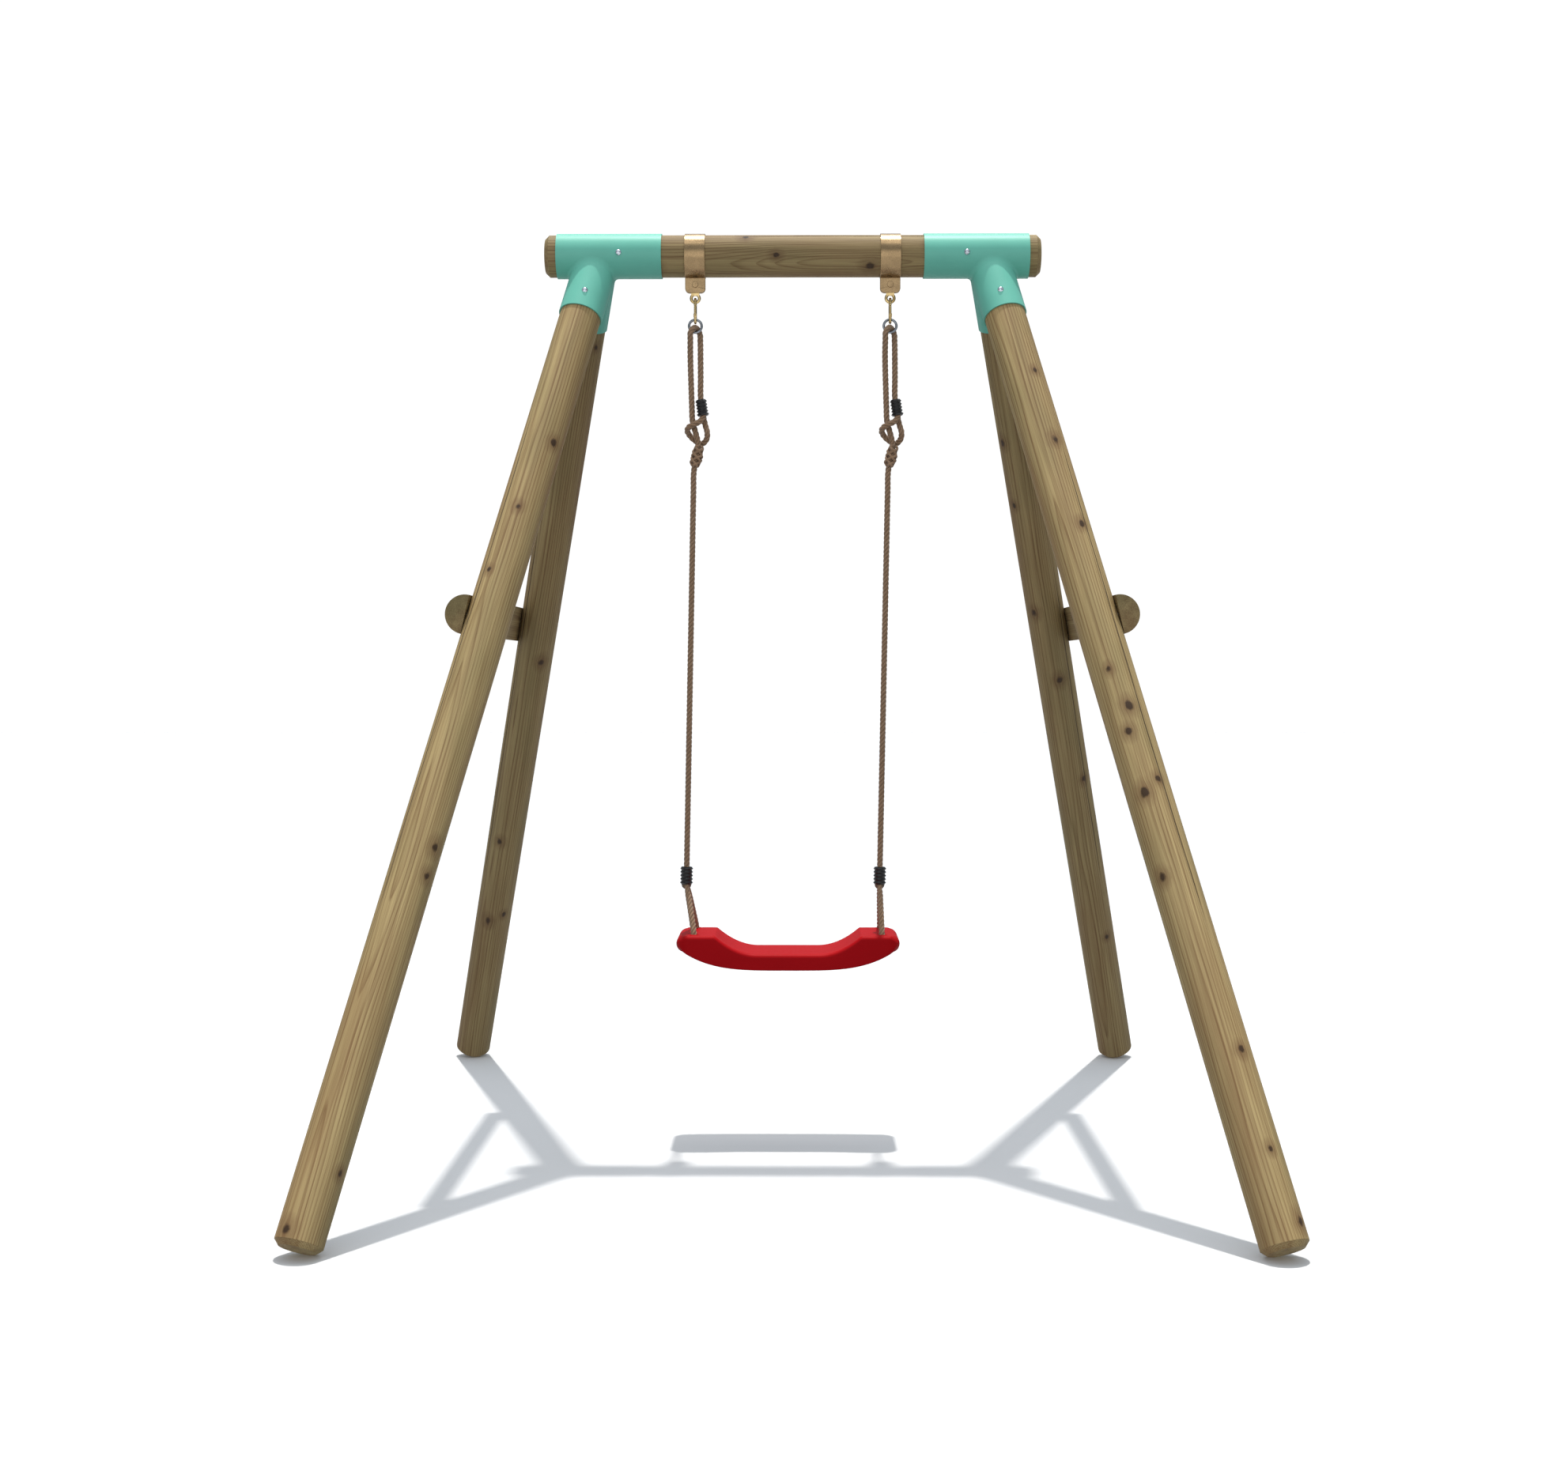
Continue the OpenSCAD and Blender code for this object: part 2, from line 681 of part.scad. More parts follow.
// Two strands from the lower sleeve through the seat's holes, joined under the seat.
module seat_loop(side) {
    r = rope_d / 2;
    loop_low_z = seat_loop_z();
    top = loop_pivot(side);
    hole_x = seat_shift + side * seat_hole_spacing / 2;
    hole_y = seat_hole_depth / 2;
    bend_z = seat_pad_z + 2;
    color("wheat")
        difference() {
            bar_chain([top + [0, -loop_strand_y, 0], [hole_x, -hole_y, bend_z],
                [hole_x, -hole_y, loop_low_z], [hole_x, hole_y, loop_low_z],
                [hole_x, hole_y, bend_z], top + [0, loop_strand_y, 0]], r);
            translate(top) sphere(r = loop_ball_r + loop_bundle_gap);
        }
}

// ---------- seat ----------

// Height of the sitting surface: level in the middle, then rising to the rope pads.
function seat_top(x) = seat_mid_z
    + seat_dish * pow(max(0, (x - seat_flat_x) / (seat_pad_in - seat_flat_x)), 2);
// Height of the skirt's lower edge: it sweeps up towards the ends.
function seat_low(x) = seat_low_z
    + (seat_pad_z - seat_end_depth - seat_low_z) * pow(x / seat_pad_out, 3.75);

// Height of the loops' run under the seat, hidden by the skirt.
function seat_loop_z() = seat_low(seat_hole_spacing / 2) + rope_d / 2 + 6;

// Right half of the seat's front view, drawn inset by a wall.
module seat_half_profile(inset) {
    polygon(concat(
        [for (i = [0:seat_steps]) let (x = seat_pad_out * i / seat_steps)
            [x, seat_low(x) - (inset > 0 ? BIG : 0)]],
        [[seat_pad_out, seat_pad_z - inset], [seat_pad_in - inset / 3, seat_pad_z - inset]],
        [for (i = [seat_steps:-1:0])
            let (x = seat_flat_x + (seat_pad_in - seat_flat_x) * i / (seat_steps + 1))
                [x, seat_top(x) - inset]],
        [[0, seat_mid_z - inset]]));
}

module seat_profile(inset) {
    for (s = [0, 1]) mirror([s, 0]) {
        seat_half_profile(inset);
        translate([seat_pad_out, seat_pad_z - seat_end_r]) circle(r = seat_end_r - inset);
        if (inset > 0) translate([seat_pad_in, seat_low_z - BIG])
            square([seat_pad_out + seat_end_r - inset - seat_pad_in,
                BIG + seat_pad_z - seat_end_r - seat_low_z]);
    }
}

// Plan of the seat: a rectangle with round corners, inset by a wall.
module seat_plan(inset) {
    half_w = seat_width / 2 - inset;
    half_d = seat_depth / 2 - inset;
    r = seat_corner_r - inset;
    square([2 * half_w, 2 * (half_d - r)], center = true);
    square([2 * (half_w - r), 2 * half_d], center = true);
    for (sx = [-1, 1], sy = [-1, 1])
        translate([sx * (half_w - r), sy * (half_d - r)]) circle(r = r);
}

module seat_body(inset) {
    intersection() {
        rotate([90, 0, 0]) linear_extrude(height = BIG, center = true) seat_profile(inset);
        linear_extrude(height = 2 * seat_pad_z) seat_plan(inset);
    }
}

// Ribs and hole posts under the seat, trimmed to its outer shape.
module seat_stiffening() {
    rib_t = 3;
    rib_pitch = 52;
    post_r = hole_r + seat_wall;
    rib_low = seat_mid_z - seat_skirt * 0.72;
    loop_room = rope_d / 2 + 3;
    loop_low_z = seat_loop_z();
    intersection() {
        seat_body(0.01);
        difference() {
            union() {
                for (i = [-2:2]) translate([i * rib_pitch, 0, rib_low + BIG / 2])
                    cube([rib_t, seat_depth, BIG], center = true);
                for (s = [-1, 1]) translate([0, s * seat_depth / 6, rib_low + BIG / 2])
                    cube([seat_width - 90, rib_t, BIG], center = true);
                for (sx = [-1, 1], sy = [-1, 1])
                    translate([sx * seat_hole_spacing / 2, sy * seat_hole_depth / 2, 0])
                        translate([0, 0, loop_low_z + rope_d / 2 + rope_clear])
                            cylinder(h = BIG, r = post_r);
            }
            for (sx = [-1, 1])
                translate([sx * seat_hole_spacing / 2, 0, loop_low_z - loop_room])
                    cube([2 * loop_room, seat_hole_depth + 2 * loop_room, 2 * loop_room],
                        center = true);
        }
    }
}

module seat() {
    color("crimson")
        translate([seat_shift, 0, 0])
            difference() {
                union() {
                    difference() {
                        seat_body(0);
                        seat_body(seat_wall);
                    }
                    seat_stiffening();
                }
                for (sx = [-1, 1], sy = [-1, 1])
                    translate([sx * seat_hole_spacing / 2, sy * seat_hole_depth / 2, 0])
                        cylinder(h = 2 * seat_pad_z, r = hole_r);
            }
}

crossbeam();
bracket(LEFT);  // left_bracket
bracket(RIGHT);  // right_bracket
leg(LEFT, FRONT);  // front_left_leg
leg(LEFT, REAR);  // rear_left_leg
leg(RIGHT, FRONT);  // front_right_leg
leg(RIGHT, REAR);  // rear_right_leg
cross_brace(LEFT);  // left_cross_brace
cross_brace(RIGHT);  // right_cross_brace
bracket_screws(LEFT);  // left_bracket_screws
bracket_screws(RIGHT);  // right_bracket_screws
brace_screws(LEFT);  // left_brace_screws
brace_screws(RIGHT);  // right_brace_screws
strap(LEFT);  // left_strap
strap(RIGHT);  // right_strap
strap_bolt(LEFT);  // left_strap_bolt
strap_bolt(RIGHT);  // right_strap_bolt
strap_nut(LEFT);  // left_strap_nut
strap_nut(RIGHT);  // right_strap_nut
eye(LEFT);  // left_eye
eye(RIGHT);  // right_eye
hook(LEFT);  // left_hook
hook(RIGHT);  // right_hook
gate(LEFT);  // left_gate
gate(RIGHT);  // right_gate
color("silver") gate_pin(LEFT);  // left_gate_pin
color("silver") gate_pin(RIGHT);  // right_gate_pin
ring(LEFT);  // left_ring
ring(RIGHT);  // right_ring
rope(LEFT);  // left_rope
rope(RIGHT);  // right_rope
knot(LEFT);  // left_knot
knot(RIGHT);  // right_knot
upper_sleeve(LEFT);  // left_upper_sleeve
upper_sleeve(RIGHT);  // right_upper_sleeve
lower_sleeve(LEFT);  // left_lower_sleeve
lower_sleeve(RIGHT);  // right_lower_sleeve
loop_bundle(LEFT);  // left_loop_bundle
loop_bundle(RIGHT);  // right_loop_bundle
seat_loop(LEFT);  // left_seat_loop
seat_loop(RIGHT);  // right_seat_loop
seat();
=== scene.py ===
"""Garden swing: round timber poles, steel three-way brackets, and a rope-hung moulded seat."""
import json
import math

import bmesh
import bpy
import numpy as np
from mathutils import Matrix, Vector


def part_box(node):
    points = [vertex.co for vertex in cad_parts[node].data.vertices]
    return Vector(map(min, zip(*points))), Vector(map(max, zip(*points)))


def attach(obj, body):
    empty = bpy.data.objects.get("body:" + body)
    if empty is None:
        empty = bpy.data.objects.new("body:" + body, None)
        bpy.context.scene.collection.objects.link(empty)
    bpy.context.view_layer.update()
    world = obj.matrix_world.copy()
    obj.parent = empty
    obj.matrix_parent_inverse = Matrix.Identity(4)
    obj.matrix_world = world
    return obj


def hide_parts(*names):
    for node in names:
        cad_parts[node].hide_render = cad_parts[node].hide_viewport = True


bl_info = {
    "name": "Garden Swing",
    "version": (1, 0, 0),
    "blender": (4, 5, 0),
    "location": "View3D > Sidebar > Garden Swing",
    "description": "Builds the finished surfaces of a round-timber garden swing on its CAD frame",
    "category": "Object",
}

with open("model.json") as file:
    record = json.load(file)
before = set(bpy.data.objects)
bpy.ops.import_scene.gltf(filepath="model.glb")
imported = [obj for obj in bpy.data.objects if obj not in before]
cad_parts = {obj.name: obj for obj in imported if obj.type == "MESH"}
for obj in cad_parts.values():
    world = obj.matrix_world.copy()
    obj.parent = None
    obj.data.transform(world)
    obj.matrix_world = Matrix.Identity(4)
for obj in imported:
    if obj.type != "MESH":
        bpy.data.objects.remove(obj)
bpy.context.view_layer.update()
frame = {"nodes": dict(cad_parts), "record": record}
MM = 0.001
SIDES = {"left": -1, "right": 1}
ENDS = {"front": -1, "rear": 1}
FEET = {m["name"]: m for m in frame["record"]["mounts"]}
BODY = {n: b for b, names in frame["record"]["behaviour"]["bodies"].items() for n in names}
BEAM_LOW, BEAM_HIGH = (np.array(corner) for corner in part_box("crossbeam"))
BEAM_Z = float(BEAM_LOW[2] + BEAM_HIGH[2]) / 2
BEAM_R = float(BEAM_HIGH[2] - BEAM_LOW[2]) / 2
BEAM_TUBE_R = 43.8 * MM
LEG_LENGTH = 1994 * MM
LEG_R = 40 * MM
LEG_TUBE_R = 42.8 * MM
HANGER_X = 192.5 * MM
SWING_Z = BEAM_Z - 90.5 * MM
RING_Z = BEAM_Z - 137 * MM
HANG_LEAN = math.radians(1.1)
ROPE_R = 6 * MM
SEAT_X = -9 * MM
HOLE_X, HOLE_Y = 185 * MM, 56 * MM


def linear(code):
    """sRGB hex code to linear red, green, blue and alpha."""
    values = np.array([int(code[i:i + 2], 16) for i in (1, 3, 5)]) / 255
    out = np.where(values <= 0.04045, values / 12.92, ((values + 0.055) / 1.055) ** 2.4)
    return (*out.tolist(), 1.0)


# ---------- settings ----------

def size(name, default, description):
    """A length that a user may change."""
    return bpy.props.FloatProperty(name=name, default=default, description=description,
        unit="LENGTH", precision=4, min=0.0)


def tint(name, code, description):
    """A colour that a user may change, given as its sRGB hex code."""
    return bpy.props.FloatVectorProperty(name=name, default=linear(code)[:3], size=3,
        subtype="COLOR", min=0.0, max=1.0, description=description)


class SwingSizes(bpy.types.PropertyGroup):
    """Lengths in metres of the details that the CAD parts leave open"""
    rope_lay: size("Rope lay", 0.036, "Length in which a strand goes once round the rope")
    ring_pitch: size("Growth ring", 0.0024, "Thickness of one year's growth in the timber")
    knot_size: size("Timber knot", 0.0058, "Radius of a knot in the timber")
    fillet: size("Weld blend", 0.007, "Width of the blend where two bracket tubes meet")
    brace_bevel: size("Brace edge", 0.0014, "Rounding of the sawn braces' edges")
    plate_bevel: size("Plate edge", 0.0006, "Rounding of the strap's edges")


class SwingColours(bpy.types.PropertyGroup):
    """Base colour of each finish"""
    pine_pale: tint("Pine, early wood", "#b39c6c", "Pale part of a growth ring")
    pine_warm: tint("Pine, late wood", "#7a5f3b", "Dark part of a growth ring")
    pine_knot: tint("Pine knot", "#33210f", "Heart of a knot")
    powder: tint("Powder coat", "#6fbfaa", "Steel brackets")
    yellow_zinc: tint("Yellow zinc", "#8a7456", "Strap, eye and hook")
    zinc: tint("Zinc", "#b4bac2", "Screws, nuts, rings")
    rope: tint("Rope", "#8f6f53", "Laid rope")
    crimp: tint("Crimp sleeve", "#0c0c0d", "Moulded sleeves")
    seat: tint("Seat", "#a80a12", "Moulded seat")


# ---------- meshes ----------

def skin(rings, ends=True, loop=False):
    """Corner index (i, k) of ring i joins (i, k+1), (i+1, k+1) and (i+1, k) in one quad; both
    end rings are closed by a fan to their middle, or ring n joins ring 0 in a loop."""
    n, m, _ = rings.shape
    i, k = np.meshgrid(np.arange(n if loop else n - 1), np.arange(m), indexing="ij")
    i2, k2 = (i + 1) % n, (k + 1) % m
    faces = np.stack([i * m + k, i * m + k2, i2 * m + k2, i2 * m + k], -1).reshape(-1, 4).tolist()
    verts = rings.reshape(-1, 3)
    if ends and not loop:
        k = np.arange(m)
        k2 = (k + 1) % m
        verts = np.vstack([verts, rings[0].mean(0), rings[-1].mean(0)])
        faces += np.stack([np.full(m, n * m), k2, k], -1).tolist()
        faces += np.stack([np.full(m, n * m + 1), (n - 1) * m + k, (n - 1) * m + k2], -1).tolist()
    return verts, faces


def joined(parts):
    """Several (verts, faces) as one."""
    verts, faces, start = [], [], 0
    for v, f in parts:
        verts.append(v)
        faces += [[c + start for c in face] for face in f]
        start += len(v)
    return np.vstack(verts), faces


def write_layers(mesh, layers):
    """Stores a number or a vector for each corner, under its layer's name."""
    for key, values in layers.items():
        vector = values.ndim == 2
        layer = mesh.attributes.new(key, "FLOAT_VECTOR" if vector else "FLOAT", "POINT")
        layer.data.foreach_set("vector" if vector else "value", values.astype(np.float32).ravel())


def into_scene(name, mesh):
    """A mesh as an object at the origin."""
    obj = bpy.data.objects.new(name, mesh)
    bpy.context.scene.collection.objects.link(obj)
    return obj


def piece(name, shape, material, layers=None, sharp=None, weld=False):
    """Puts worked-out corners and faces into a mesh object; weld merges doubles and turns the
    faces outwards, and sharp is the angle in degrees past which an edge stays crisp."""
    verts, faces = shape
    mesh = bpy.data.meshes.new(name)
    mesh.from_pydata(verts.tolist(), [], faces)
    write_layers(mesh, layers or {})
    if weld:
        edit = bmesh.new()
        edit.from_mesh(mesh)
        bmesh.ops.remove_doubles(edit, verts=edit.verts, dist=1e-5)
        bmesh.ops.recalc_face_normals(edit, faces=edit.faces)
        edit.to_mesh(mesh)
        edit.free()
    mesh.shade_smooth()
    if sharp:
        mesh.set_sharp_from_angle(angle=math.radians(sharp))
    mesh.materials.append(material)
    return into_scene(name, mesh)


def place(obj, node):
    """The piece stands for a CAD node, and rides on that node's body."""
    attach(obj, BODY[node])
    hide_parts(node)
    return obj


def cad_copy(name, node, material, bevel=0.0, sharp=35, layers=None):
    """A copy of a CAD node's surface with its doubles merged, flat faces joined and edges
    rounded by a bevel of the given width. The function 'layers' gives the layers' values for
    an array of corners."""
    source = frame["nodes"][node].data
    co = np.zeros(len(source.vertices) * 3, np.float32)
    source.vertices.foreach_get("co", co)
    corners = np.zeros(len(source.loops), np.int32)
    source.loops.foreach_get("vertex_index", corners)
    mesh = bpy.data.meshes.new(name)
    mesh.from_pydata(co.reshape(-1, 3).tolist(), [], corners.reshape(-1, 3).tolist())
    edit = bmesh.new()
    edit.from_mesh(mesh)
    bmesh.ops.remove_doubles(edit, verts=edit.verts, dist=4e-6)
    bmesh.ops.dissolve_limit(edit, angle_limit=math.radians(0.8), verts=edit.verts,
        edges=edit.edges, delimit={"NORMAL"})
    edit.to_mesh(mesh)
    edit.free()
    mesh.shade_smooth()
    mesh.set_sharp_from_angle(angle=math.radians(sharp))
    mesh.materials.append(material)
    if layers:
        co = np.zeros(len(mesh.vertices) * 3, np.float32)
        mesh.vertices.foreach_get("co", co)
        write_layers(mesh, layers(co.reshape(-1, 3)))
    obj = into_scene(name, mesh)
    if bevel:
        edge = obj.modifiers.new("edge", "BEVEL")
        edge.width, edge.segments, edge.limit_method = bevel, 3, "ANGLE"
        edge.angle_limit, edge.harden_normals = math.radians(sharp), True
        edge.use_clamp_overlap = True
    return place(obj, node)


def ride_only(obj, body):
    """The piece adds to a CAD node and hides none."""
    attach(obj, body)


def dress(node, material):
    """A CAD node whose shape is right keeps its mesh and gets a finish."""
    mesh = frame["nodes"][node].data
    mesh.materials.clear()
    mesh.materials.append(material)


def across(direction, towards):
    """The direction made a unit, and two unit vectors square to it: the first is what is left
    of 'towards' without its part along the direction, and the second is direction x first."""
    d = np.array(direction, float) / np.linalg.norm(direction)
    first = np.array(towards, float) - np.dot(towards, d) * d
    first /= np.linalg.norm(first)
    return d, first, np.cross(d, first)


def full_turn(count):
    """Even angles round a full turn, from 0, in radians."""
    return np.linspace(0, 2 * math.pi, count, endpoint=False)


def spokes(a, e1, e2):
    """Unit vectors cos a * e1 + sin a * e2, one for each angle."""
    return np.cos(a)[:, None] * e1 + np.sin(a)[:, None] * e2


def revolved(profile, origin, direction, sides=48, towards=(0.3, -1, 0.2)):
    """Rings: for each (along, radius) pair, origin + along * d + radius * (cos a * e1 +
    sin a * e2), with a from 0 to a full turn."""
    d, e1, e2 = across(direction, towards)
    profile = np.array(profile, float)
    return (np.array(origin) + profile[:, 0, None, None] * d
        + profile[:, 1, None, None] * spokes(full_turn(sides), e1, e2)[None])


def smooth_line(points, step):
    """Cubic Hermite curve through the points, whose slope at each one is the mean of its two
    chords weighted by the other's length, sampled at even steps along it."""
    p = np.array(points, float)
    gap = np.linalg.norm(np.diff(p, axis=0), axis=1)
    chord = np.diff(p, axis=0) / gap[:, None]
    inner = (chord[:-1] * gap[1:, None] + chord[1:] * gap[:-1, None]) / (gap[:-1]
        + gap[1:])[:, None]
    slope = np.vstack([chord[0], inner, chord[-1]])
    t = np.linspace(0, 1, 24, endpoint=False)[None, :, None]
    m0, m1 = (slope[s][:, None] * gap[:, None, None] for s in (slice(0, -1), slice(1, None)))
    curve = ((2 * t ** 3 - 3 * t ** 2 + 1) * p[:-1, None] + (t ** 3 - 2 * t ** 2 + t) * m0
        + (3 * t ** 2 - 2 * t ** 3) * p[1:, None] + (t ** 3 - t ** 2) * m1).reshape(-1, 3)
    curve = np.vstack([curve, p[-1]])
    along = np.append(0, np.cumsum(np.linalg.norm(np.diff(curve, axis=0), axis=1)))
    stations = np.linspace(0, along[-1], int(round(along[-1] / step)) + 1)
    return np.stack([np.interp(stations, along, curve[:, axis]) for axis in range(3)], -1)


def rounded_corners(points, radius, steps=7):
    """Straight runs whose inner corners become quadratic curves that start and end 'radius'
    before and after the corner."""
    p = np.array(points, float)
    out = [p[:1]]
    t = np.linspace(0, 1, steps)[:, None]
    for a, b, c in zip(p[:-2], p[1:-1], p[2:]):
        a2 = b + (a - b) / np.linalg.norm(a - b) * radius
        c2 = b + (c - b) / np.linalg.norm(c - b) * radius
        out.append((1 - t) ** 2 * a2 + 2 * t * (1 - t) * b + t ** 2 * c2)
    return np.vstack(out + [p[-1:]])


def tube(path, radius, aside, sides=24, lay=0.0, strands=0, scale=None):
    """Rings along a path: at length s, corner a is path + r(a) * (cos b * u + sin b * w), with
    b = a + 2 pi s / lay, u = aside x heading and w = heading x u. With strands, r(a) is the
    outline of that many round strands laid together: e cos c + sqrt(q^2 - e^2 sin^2 c), with c
    the angle from the nearest strand's middle. 'scale' gives a factor on r for each length.
    Returns the rings, each corner's place in the unwound rope, and its r / radius."""
    path = np.array(path, float)
    heading = np.gradient(path, axis=0)
    heading /= np.linalg.norm(heading, axis=1)[:, None]
    u = np.cross(np.array(aside, float), heading)
    u /= np.linalg.norm(u, axis=1)[:, None]
    w = np.cross(heading, u)
    s = np.append(0, np.cumsum(np.linalg.norm(np.diff(path, axis=0), axis=1)))
    a = full_turn(sides)
    turn = 2 * math.pi * s / lay if lay else 0 * s
    r = np.full(sides, float(radius))
    if strands:
        sector = 2 * math.pi / strands
        c = (a + sector / 2) % sector - sector / 2
        e, q = 0.433 * radius, 0.567 * radius
        r = e * np.cos(c) + np.sqrt(q ** 2 - (e * np.sin(c)) ** 2)
    grow = np.ones(len(s)) if scale is None else scale(s, s[-1])
    b = a[None] + turn[:, None]
    rings = path[:, None] + (r[None] * grow[:, None])[..., None] * (
        np.cos(b)[..., None] * u[:, None] + np.sin(b)[..., None] * w[:, None])
    layer = np.stack([np.broadcast_to(radius * np.cos(a), b.shape),
        np.broadcast_to(radius * np.sin(a), b.shape),
        np.broadcast_to(s[:, None], b.shape)], -1).reshape(-1, 3)
    depth = np.broadcast_to((r / radius)[None], b.shape).reshape(-1)
    return rings, layer, depth


def with_caps(values):
    """A layer's values with one more for each end's middle."""
    return np.concatenate([values, np.repeat(values[-1:], 2, axis=0)])



# ---------- finishes ----------

def add(tree, kind, inputs=None, out=0, stops=None, **settings):
    """Adds one node with its settings, its links or values by socket and a ramp's stops, and
    gives the output asked for."""
    made = tree.nodes.new(kind)
    for key, value in settings.items():
        setattr(made, key, value)
    for key, value in (inputs or {}).items():
        if isinstance(value, bpy.types.NodeSocket):
            tree.links.new(value, made.inputs[key])
        else:
            made.inputs[key].default_value = value
    if stops:
        ramp = made.color_ramp
        ramp.elements.remove(ramp.elements[-1])
        ramp.elements[0].position, ramp.elements[0].color = stops[0]
        for position, colour in stops[1:]:
            ramp.elements.new(position).color = colour
    return made.outputs[out]


def finish_named(name, **constants):
    """A new material with one Principled shader whose constant sockets are set directly."""
    material = bpy.data.materials.new(name)
    material.use_nodes = True
    tree = material.node_tree
    tree.nodes.clear()
    shader = tree.nodes.new("ShaderNodeBsdfPrincipled")
    output = tree.nodes.new("ShaderNodeOutputMaterial")
    tree.links.new(shader.outputs[0], output.inputs[0])
    for key, value in constants.items():
        shader.inputs[key.replace("_", " ")].default_value = value
    return material, tree, shader


def grey(value):
    """A neutral tone as red, green, blue and alpha."""
    return (value, value, value, 1)


def shade(colour, factor):
    """A linear colour made darker or lighter, as a node's value."""
    return (*[min(1.0, c * factor) for c in colour[:3]], 1.0)


def pine(name, sizes, colours, seed, light=1.0, wander=0.012):
    """Turned pine, weathered outdoors: growth rings cut into long figures, streaks along the
    grain, brown knots and drying checks give the eye stripes, ovals and dark spots, the checks
    darkened with painted shade. 'seed' is how far along the pattern this pole starts, 'light'
    how pale it is, which for each piece also paints its light and shade, and 'wander' how far
    in metres its pith strays."""
    material, t, shader = finish_named(name, Roughness=0.66)
    shader.inputs["Specular IOR Level"].default_value = 0.3
    pale, warm, heart = (shade(c, light) for c in (colours.pine_pale, colours.pine_warm,
        colours.pine_knot))
    grain = add(t, "ShaderNodeAttribute", attribute_name="grain", out="Vector")
    # growth rings about a pith that runs off-centre and drifts within about 0.6 m of length
    line = add(t, "ShaderNodeVectorMath", {0: grain, 1: (0.0, 0.0, 1.0)}, operation="MULTIPLY")
    line = add(t, "ShaderNodeVectorMath", {0: line, 1: (seed, 0.0, 0.0)}, operation="ADD")
    drift = add(t, "ShaderNodeTexNoise", {"Vector": line, "Scale": 1.7, "Detail": 1.5}, out="Color")
    drift = add(t, "ShaderNodeVectorMath", {0: drift, 1: (0.5, 0.5, 0.5)}, operation="SUBTRACT")
    drift = add(t, "ShaderNodeVectorMath", {0: drift, 1: (wander, 0.7 * wander, 0.0)},
        operation="MULTIPLY")
    pith = (0.017, 0.008, 0.0)
    drift = add(t, "ShaderNodeVectorMath", {0: drift, 1: pith}, operation="ADD")
    flat = add(t, "ShaderNodeVectorMath", {0: grain, 1: (1.0, 1.0, 0.0)}, operation="MULTIPLY")
    flat = add(t, "ShaderNodeVectorMath", {0: flat, 1: drift}, operation="SUBTRACT")
    reach = add(t, "ShaderNodeVectorMath", {0: flat}, out="Value", operation="LENGTH")
    # the rings swell and shrink by 5 mm, over 30 mm across the grain and 1.4 m along it
    wave = add(t, "ShaderNodeVectorMath", {0: grain, 1: (34.0, 34.0, 0.7)}, operation="MULTIPLY")
    ripple = add(t, "ShaderNodeTexNoise", {"Vector": wave, "Scale": 1.0, "Detail": 2.0})
    reach = add(t, "ShaderNodeMath", {0: ripple, 1: 0.005, 2: reach}, operation="MULTIPLY_ADD")
    year = add(t, "ShaderNodeMath", {0: reach, 1: sizes.ring_pitch}, operation="DIVIDE")
    year = add(t, "ShaderNodeMath", {0: year}, operation="FRACT")
    ring = add(t, "ShaderNodeValToRGB", {0: year}, stops=[(0.0, grey(0)), (0.55, grey(0.08)),
        (0.85, grey(0.8)), (0.93, grey(1)), (1.0, grey(0))])
    # fibres 2.4 mm across and 180 mm long, coarser than pine's own so that they show
    fibre = add(t, "ShaderNodeVectorMath", {0: grain, 1: (420.0, 420.0, 5.5)},
        operation="MULTIPLY")
    fibre = add(t, "ShaderNodeTexNoise", {"Vector": fibre, "Scale": 1.0, "Detail": 4.0,
        "Roughness": 0.6})
    # streaks 13 mm across and 770 mm long
    streak = add(t, "ShaderNodeVectorMath", {0: grain, 1: (75.0, 75.0, 1.3)},
        operation="MULTIPLY")
    streak = add(t, "ShaderNodeTexNoise", {"Vector": streak, "Scale": 1.0, "Detail": 3.0})
    streak = add(t, "ShaderNodeMapRange", {0: streak, 1: 0.32, 2: 0.68})
    mixed = add(t, "ShaderNodeMath", {0: ring, 1: 0.38}, operation="MULTIPLY")
    mixed = add(t, "ShaderNodeMath", {0: streak, 1: 0.36, 2: mixed}, operation="MULTIPLY_ADD")
    mixed = add(t, "ShaderNodeMath", {0: fibre, 1: 1.1, 2: mixed}, operation="MULTIPLY_ADD")
    mixed = add(t, "ShaderNodeMapRange", {0: mixed, 1: 0.48, 2: 1.2})
    colour = add(t, "ShaderNodeMix", {0: mixed, 6: pale, 7: warm}, out=2, data_type="RGBA")
    # green damp and brown blush in patches 77 mm across and 380 mm long
    patch = add(t, "ShaderNodeVectorMath", {0: grain, 1: (13.0, 13.0, 2.6)}, operation="MULTIPLY")
    patch = add(t, "ShaderNodeTexNoise", {"Vector": patch, "Scale": 1.0, "Detail": 2.0})
    damp = add(t, "ShaderNodeMapRange", {0: patch, 1: 0.5, 2: 0.72, 4: 0.42})
    blush = add(t, "ShaderNodeMapRange", {0: patch, 1: 0.46, 2: 0.3, 4: 0.35})
    # knots: distance in knot radii, made uneven over 6 mm across the grain and 14 mm along it
    knot = add(t, "ShaderNodeAttribute", attribute_name="knot", out="Fac")
    blot = add(t, "ShaderNodeVectorMath", {0: grain, 1: (170.0, 170.0, 70.0)},
        operation="MULTIPLY")
    blot = add(t, "ShaderNodeTexNoise", {"Vector": blot, "Scale": 1.0, "Detail": 3.0})
    jitter = add(t, "ShaderNodeMath", {0: blot, 1: 1.7, 2: knot}, operation="MULTIPLY_ADD")
    halo = add(t, "ShaderNodeMapRange", {0: jitter, 1: 4.6, 2: 1.7, 4: 0.62})
    core = add(t, "ShaderNodeMapRange", {0: jitter, 1: 2.1, 2: 1.5, 4: 0.94})
